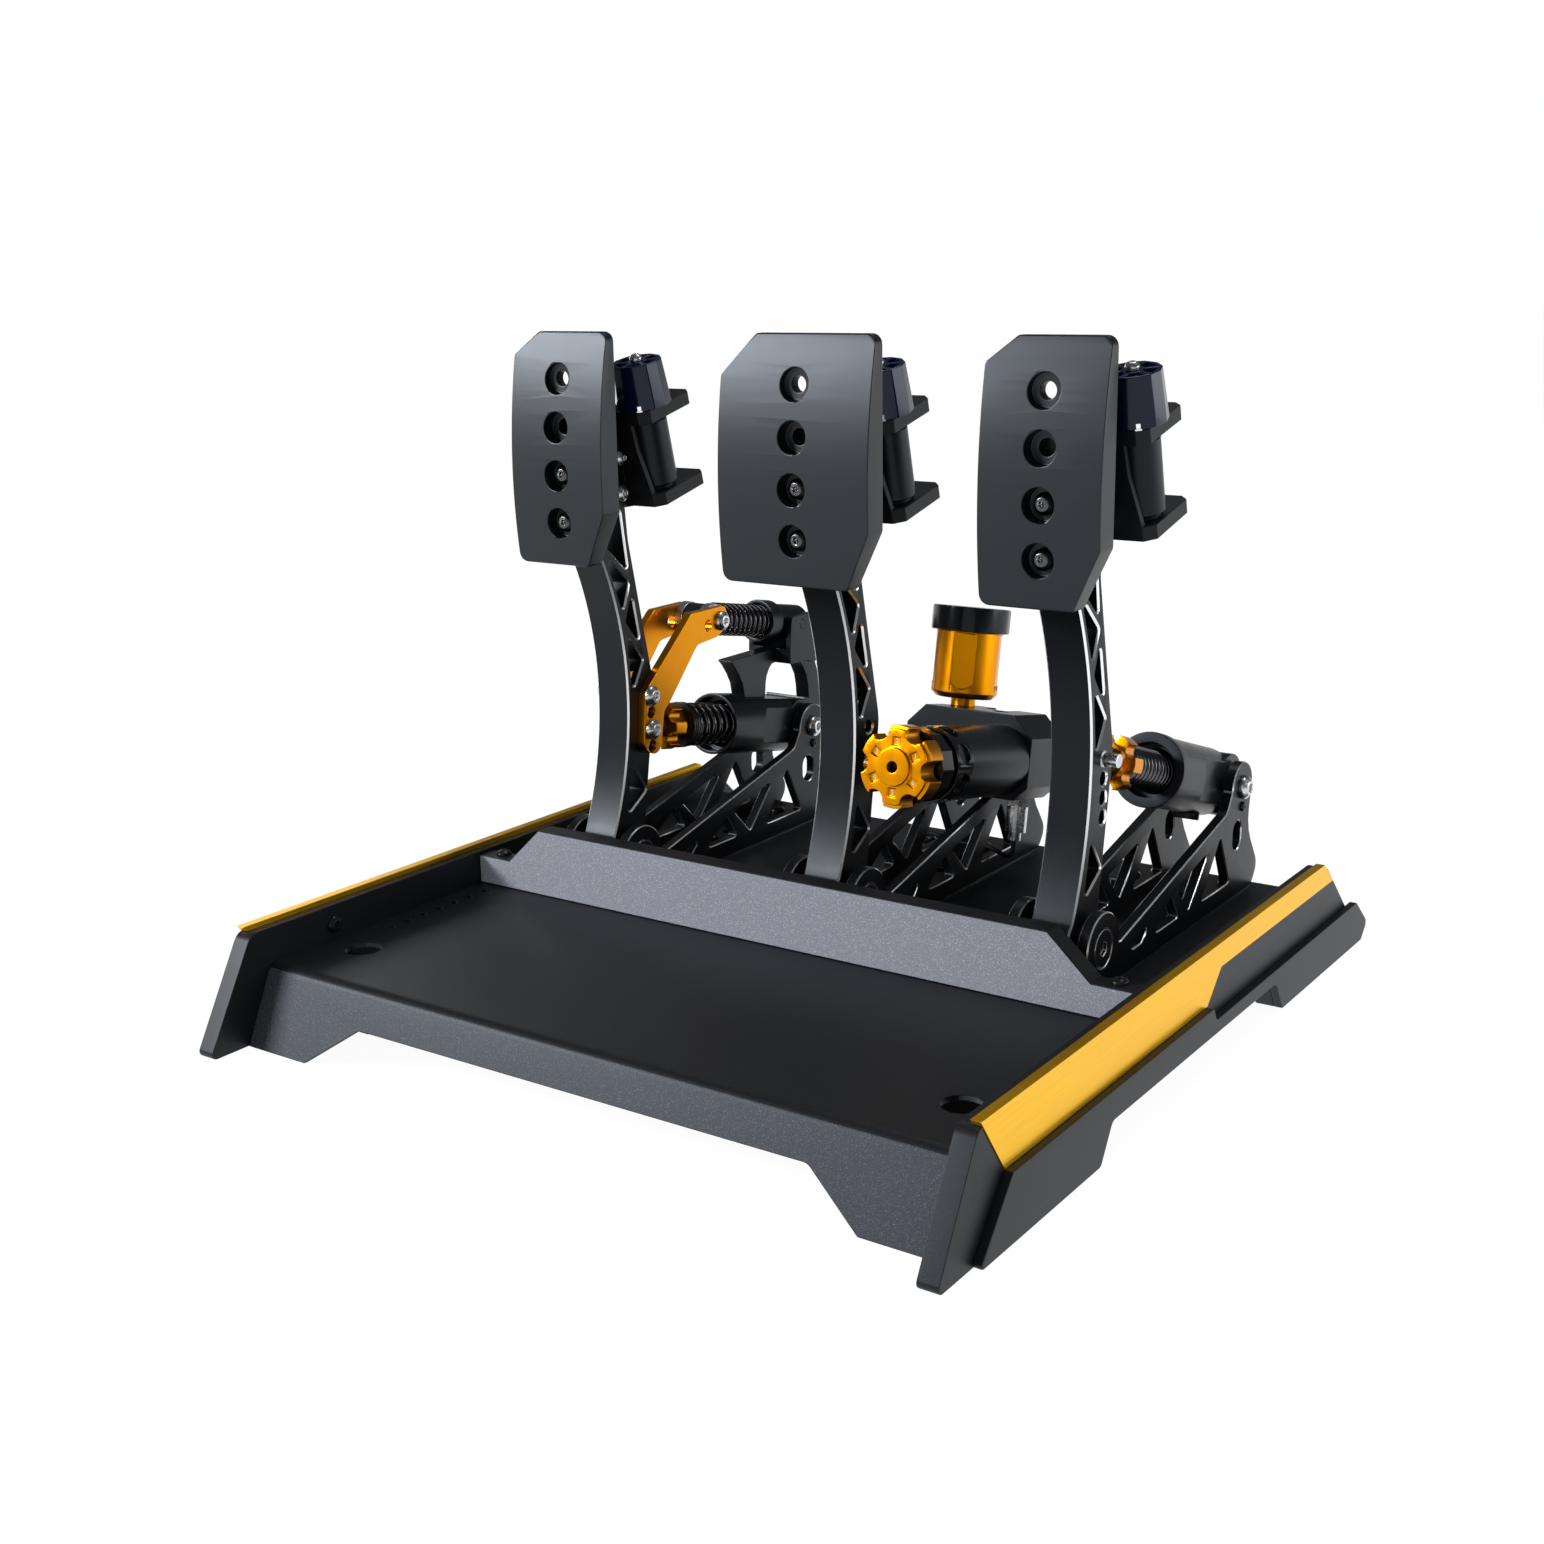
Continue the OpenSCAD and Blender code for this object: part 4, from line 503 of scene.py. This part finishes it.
def cap_foot(pedal, x):
    """Small folded foot at the bottom of a motor's cap, turned towards the front right."""
    motor = Matrix.Translation(place(x, 252, 273)) @ Matrix.Rotation(math.radians(14), 4, "X")
    form = bmesh.new()
    turn = Matrix.Rotation(math.radians(-62), 4, "Z")
    for at, size in (((14.7, 0, 1.9), (0.6, 2.2, 2.8)), ((14.9, 0, 0.5), (1.0, 3.2, 0.9))):
        box = bmesh.ops.create_cube(form, size=MM)["verts"]
        bmesh.ops.scale(form, vec=size, verts=box)
        bmesh.ops.translate(form, vec=Vector(at) * MM, verts=box)
    bmesh.ops.bevel(form, geom=form.edges[:], offset=0.2 * MM, segments=2, affect="EDGES", profile=0.5)
    bmesh.ops.transform(form, matrix=motor @ Matrix.Translation(Vector((27, 2.5, 39.4)) * MM) @ turn,
                        verts=form.verts)
    piece = piece_of(pedal + "_cap_foot", form, polished)
    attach(piece, pedal + "_pedal")
    return piece


number_grey = finish("number_grey", (0.75, 0.72, 0.62), 0.5)[0]
knob_numbers = numbers()
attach(knob_numbers, "brake_preload")
for pedal, x in (("clutch", CLUTCH_X), ("brake", BRAKE_X), ("throttle", THROTTLE_X)):
    cap_foot(pedal, x)
print("numbers:", len(knob_numbers.data.polygons), "faces")

# %% [markdown]
# ## Springs
# A compression spring is a helix whose end coils lie flat on their seats. That is a rule, so it is a
# Geometry Nodes tree: a line is resampled, each point is turned round the axis, and its height
# stands still for the first and the last turn. The curve gets a round wire as its profile.


# %% Spring tree
def spring_tree():
    """Node tree of a compression spring with inputs for its radius, wire, length and turns."""
    tree = bpy.data.node_groups.new("compression_spring", "GeometryNodeTree")
    tree.interface.new_socket("Geometry", in_out="OUTPUT", socket_type="NodeSocketGeometry")
    for name, kind in (("Radius", "Float"), ("Wire", "Float"), ("Length", "Float"),
                       ("Turns", "Float"), ("Material", "Material")):
        tree.interface.new_socket(name, in_out="INPUT", socket_type=f"NodeSocket{kind}")
    new, link = tree.nodes.new, tree.links.new
    given, result = new("NodeGroupInput"), new("NodeGroupOutput")

    def math_node(operation, a, b=None, c=None):
        node = new("ShaderNodeMath")
        node.operation = operation
        for socket, value in zip(node.inputs, (a, b, c)):
            if value is None:
                continue
            if isinstance(value, (int, float)):
                socket.default_value = value
            else:
                link(value, socket)
        return node.outputs[0]

    line = new("GeometryNodeCurvePrimitiveLine")
    resample = new("GeometryNodeResampleCurve")
    link(line.outputs["Curve"], resample.inputs["Curve"])
    link(math_node("MULTIPLY_ADD", given.outputs["Turns"], 28, 1), resample.inputs["Count"])
    along = new("GeometryNodeSplineParameter").outputs["Factor"]
    turns = given.outputs["Turns"]
    angle = math_node("MULTIPLY", math_node("MULTIPLY", along, turns), 2 * math.pi)
    active = math_node("DIVIDE", math_node("SUBTRACT", math_node("MULTIPLY", along, turns), 0.8),
                       math_node("SUBTRACT", turns, 1.6))
    rise = math_node("MINIMUM", math_node("MAXIMUM", active, 0.0), 1.0)
    travel = math_node("SUBTRACT", given.outputs["Length"], given.outputs["Wire"])
    half_wire = math_node("MULTIPLY", given.outputs["Wire"], 0.5)
    position = new("ShaderNodeCombineXYZ")
    link(math_node("MULTIPLY", math_node("COSINE", angle), given.outputs["Radius"]), position.inputs["X"])
    link(math_node("MULTIPLY", math_node("SINE", angle), given.outputs["Radius"]), position.inputs["Y"])
    link(math_node("MULTIPLY_ADD", rise, travel, half_wire), position.inputs["Z"])
    move = new("GeometryNodeSetPosition")
    link(resample.outputs["Curve"], move.inputs["Geometry"])
    link(position.outputs["Vector"], move.inputs["Position"])
    profile = new("GeometryNodeCurvePrimitiveCircle")
    profile.inputs["Resolution"].default_value = 14
    link(half_wire, profile.inputs["Radius"])
    tube = new("GeometryNodeCurveToMesh")
    tube.inputs["Fill Caps"].default_value = True
    link(move.outputs["Geometry"], tube.inputs["Curve"])
    link(profile.outputs["Curve"], tube.inputs["Profile Curve"])
    real = new("GeometryNodeRealizeInstances")
    link(tube.outputs["Mesh"], real.inputs["Geometry"])
    paint = new("GeometryNodeSetMaterial")
    link(real.outputs["Geometry"], paint.inputs["Geometry"])
    link(given.outputs["Material"], paint.inputs["Material"])
    link(paint.outputs["Geometry"], result.inputs["Geometry"])
    return tree


def grown(name, tree, values, where):
    """A plain mesh from a node tree with these input values, put in place by a matrix."""
    holder = bpy.data.objects.new(name + "_holder", bpy.data.meshes.new(name + "_holder"))
    bpy.context.scene.collection.objects.link(holder)
    modifier = holder.modifiers.new("nodes", "NODES")
    modifier.node_group = tree
    sockets = {s.name: s.identifier for s in tree.interface.items_tree if s.in_out == "INPUT"}
    for key, value in values.items():
        modifier[sockets[key]] = value
    depsgraph = bpy.context.evaluated_depsgraph_get()
    mesh = bpy.data.meshes.new_from_object(holder.evaluated_get(depsgraph), depsgraph=depsgraph)
    bpy.data.objects.remove(holder)
    mesh.transform(where)
    mesh.shade_smooth()
    mesh.set_sharp_from_angle(angle=math.radians(40))
    piece = bpy.data.objects.new(name, mesh)
    bpy.context.scene.collection.objects.link(piece)
    return piece


compression_spring = spring_tree()

# %% [markdown]
# Each spring stands on a seat in its cylinder and presses on what rides on its rod.

# %% Springs
SPRINGS = [
    # node, frame, seat, far end, outer diameter, wire, turns, joint, stroke
    ("throttle_spring", THROTTLE_ROD, 50.5, 120.7, 22.0, 2.5, 16, "throttle_rod_slide", 22.2),
    ("clutch_spring", CLUTCH_ROD, 47.3, 106.7, 26.0, 3.2, 10, "clutch_rod_slide", 12.5),
    ("clutch_upper_spring", UPPER_ROD, 20.0, 74.28, 20.0, 2.2, 12, "clutch_upper_slide", 22.4)]


def wound(node, rod, seat, end, outer, wire, turns, joint, stroke):
    """One compression spring in place of its CAD solid."""
    length = end - seat
    where = rod @ Matrix.Translation((0, 0, seat * MM))
    piece = grown(node + "_wire", compression_spring, {
        "Radius": (outer - wire) / 2 * MM, "Wire": wire * MM, "Length": length * MM,
        "Turns": float(turns), "Material": spring_black}, where)
    own_mesh(piece, node)
    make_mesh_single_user(piece)
    return piece


for spring in SPRINGS:
    made = wound(*spring)
    print(made.name, "faces", len(made.data.polygons))

# %% [markdown]
# ## Light, floor and backdrop
# Black metal is shown by what it reflects, so the set stands on a pale floor between large soft lamps.
# The world is plain grey light, but the camera and mirror-like rays see it white.

# %% Floor
FLOOR_SIZE = 30.0
floor_mesh = bpy.data.meshes.new("floor")
half = FLOOR_SIZE / 2
floor_mesh.from_pydata([(-half, -half, 0), (half, -half, 0), (half, half, 0), (-half, half, 0)], [],
                       [(0, 1, 2, 3)])
floor = bpy.data.objects.new("floor", floor_mesh)
bpy.context.scene.collection.objects.link(floor)


def white_floor():
    """Matte white. Camera and mirror-like rays see it as white as the backdrop, except in a box under the
    deck, where the glow is taken away as painted shade.
    """
    material, shader, tree = finish("floor_white", (0.86, 0.86, 0.87), 0.7, specular=0.1)
    new, link = tree.nodes.new, tree.links.new
    path, glow = new("ShaderNodeLightPath"), new("ShaderNodeEmission")
    seen = new("ShaderNodeMath")
    seen.operation = "MAXIMUM"
    link(path.outputs["Is Camera Ray"], seen.inputs[0])
    link(path.outputs["Is Glossy Ray"], seen.inputs[1])
    apart = new("ShaderNodeSeparateXYZ")
    link(new("ShaderNodeTexCoord").outputs["Object"], apart.inputs["Vector"])
    glow_outside_painted_shade = None
    # A box under the deck, where the shade falls, loses the glow: painted shade.
    for axis, inner, outer in (("X", 0.178, 0.19), ("Y", 0.135, 0.165)):
        size = new("ShaderNodeMath")
        size.operation = "ABSOLUTE"
        link(apart.outputs[axis], size.inputs[0])
        fade = new("ShaderNodeMapRange")
        fade.inputs["From Min"].default_value = inner
        fade.inputs["From Max"].default_value = outer
        fade.inputs["To Max"].default_value = 1.06
        link(size.outputs[0], fade.inputs["Value"])
        if glow_outside_painted_shade is None:
            glow_outside_painted_shade = fade.outputs[0]
        else:
            most = new("ShaderNodeMath")
            most.operation = "MAXIMUM"
            link(glow_outside_painted_shade, most.inputs[0])
            link(fade.outputs[0], most.inputs[1])
            glow_outside_painted_shade = most.outputs[0]
    strength = new("ShaderNodeMath")
    strength.operation = "MULTIPLY"
    link(seen.outputs[0], strength.inputs[0])
    link(glow_outside_painted_shade, strength.inputs[1])
    glow.inputs["Color"].default_value = (1.0, 1.0, 1.0, 1.0)
    link(strength.outputs[0], glow.inputs["Strength"])
    weak = new("ShaderNodeMixShader")
    weak.inputs["Fac"].default_value = 0.9
    link(shader.outputs["BSDF"], weak.inputs[1])
    link(glow.outputs["Emission"], weak.inputs[2])
    link(weak.outputs["Shader"], tree.nodes["Material Output"].inputs["Surface"])
    return material


floor_mesh.materials.append(white_floor())

# %% World
world = bpy.data.worlds.new("studio")
bpy.context.scene.world = world
world.use_nodes = True
sky = world.node_tree
PLAIN, ABOVE, BACKDROP = 0.5, 0.08, 1.0
rays = sky.nodes.new("ShaderNodeLightPath")
way = sky.nodes.new("ShaderNodeSeparateXYZ")
sky.links.new(sky.nodes.new("ShaderNodeTexCoord").outputs["Generated"], way.inputs["Vector"])
height, behind, cove = (sky.nodes.new("ShaderNodeMapRange") for _ in range(3))
for fade, low, high, bottom, top in ((height, 0.0, 0.14, 1.0, 0.0), (behind, -0.25, 0.15, 0.0, 1.0)):
    for socket, value in zip(("From Min", "From Max", "To Min", "To Max"), (low, high, bottom, top)):
        fade.inputs[socket].default_value = value
cove.inputs["To Min"].default_value = ABOVE
cove.inputs["To Max"].default_value = BACKDROP
both = sky.nodes.new("ShaderNodeMath")
both.operation = "MULTIPLY"
sky.links.new(way.outputs["Z"], height.inputs["Value"])
sky.links.new(way.outputs["Y"], behind.inputs["Value"])
sky.links.new(height.outputs["Result"], both.inputs[0])
sky.links.new(behind.outputs["Result"], both.inputs[1])
sky.links.new(both.outputs[0], cove.inputs["Value"])
shade = sky.nodes["Background"]
shade.inputs["Color"].default_value = (1.0, 1.0, 1.0, 1.0)
shade.inputs["Strength"].default_value = PLAIN
for ray in ("Is Glossy Ray", "Is Transmission Ray", "Is Camera Ray"):
    light = sky.nodes.new("ShaderNodeBackground")
    light.inputs["Strength"].default_value = BACKDROP
    light.inputs["Color"].default_value = (1.0, 1.0, 1.0, 1.0)
    if ray == "Is Glossy Ray":
        sky.links.new(cove.outputs["Result"], light.inputs["Strength"])
    choose = sky.nodes.new("ShaderNodeMixShader")
    sky.links.new(rays.outputs[ray], choose.inputs["Fac"])
    sky.links.new(shade.outputs[0], choose.inputs[1])
    sky.links.new(light.outputs[0], choose.inputs[2])
    shade = choose
sky.links.new(shade.outputs[0], sky.nodes["World Output"].inputs["Surface"])


# %% Lamps
def lamp(name, at, target, size, watts):
    """A large soft lamp that faces a point."""
    data = bpy.data.lights.new(name, "AREA")
    data.shape = "RECTANGLE"
    data.size, data.size_y = size
    data.energy = watts
    light = bpy.data.objects.new(name, data)
    bpy.context.scene.collection.objects.link(light)
    light.location = at
    light.rotation_euler = (Vector(target) - Vector(at)).to_track_quat("-Z", "Y").to_euler()
    return light


lamp("key", (-1.72, -1.83, 1.14), (0, 0, 0.2), (1.1, 0.44), 60)
lamp("side", (2.0, 1.1, 0.55), (0.2, 0, 0.05), (1.6, 0.9), 15)
lamp("left", (-1.95, 1.05, 0.8), (0, 0, 0.05), (0.8, 0.5), 3.2)
lamp("front", (0.7, -2.0, 0.75), (0, 0, 0.15), (2.2, 1.3), 4)
lamp("top", (0.1, 0.5, 1.7), (0, 0, 0.1), (1.2, 0.5), 8)
bpy.context.scene.view_settings.view_transform = "Standard"
print("lamps: 3")
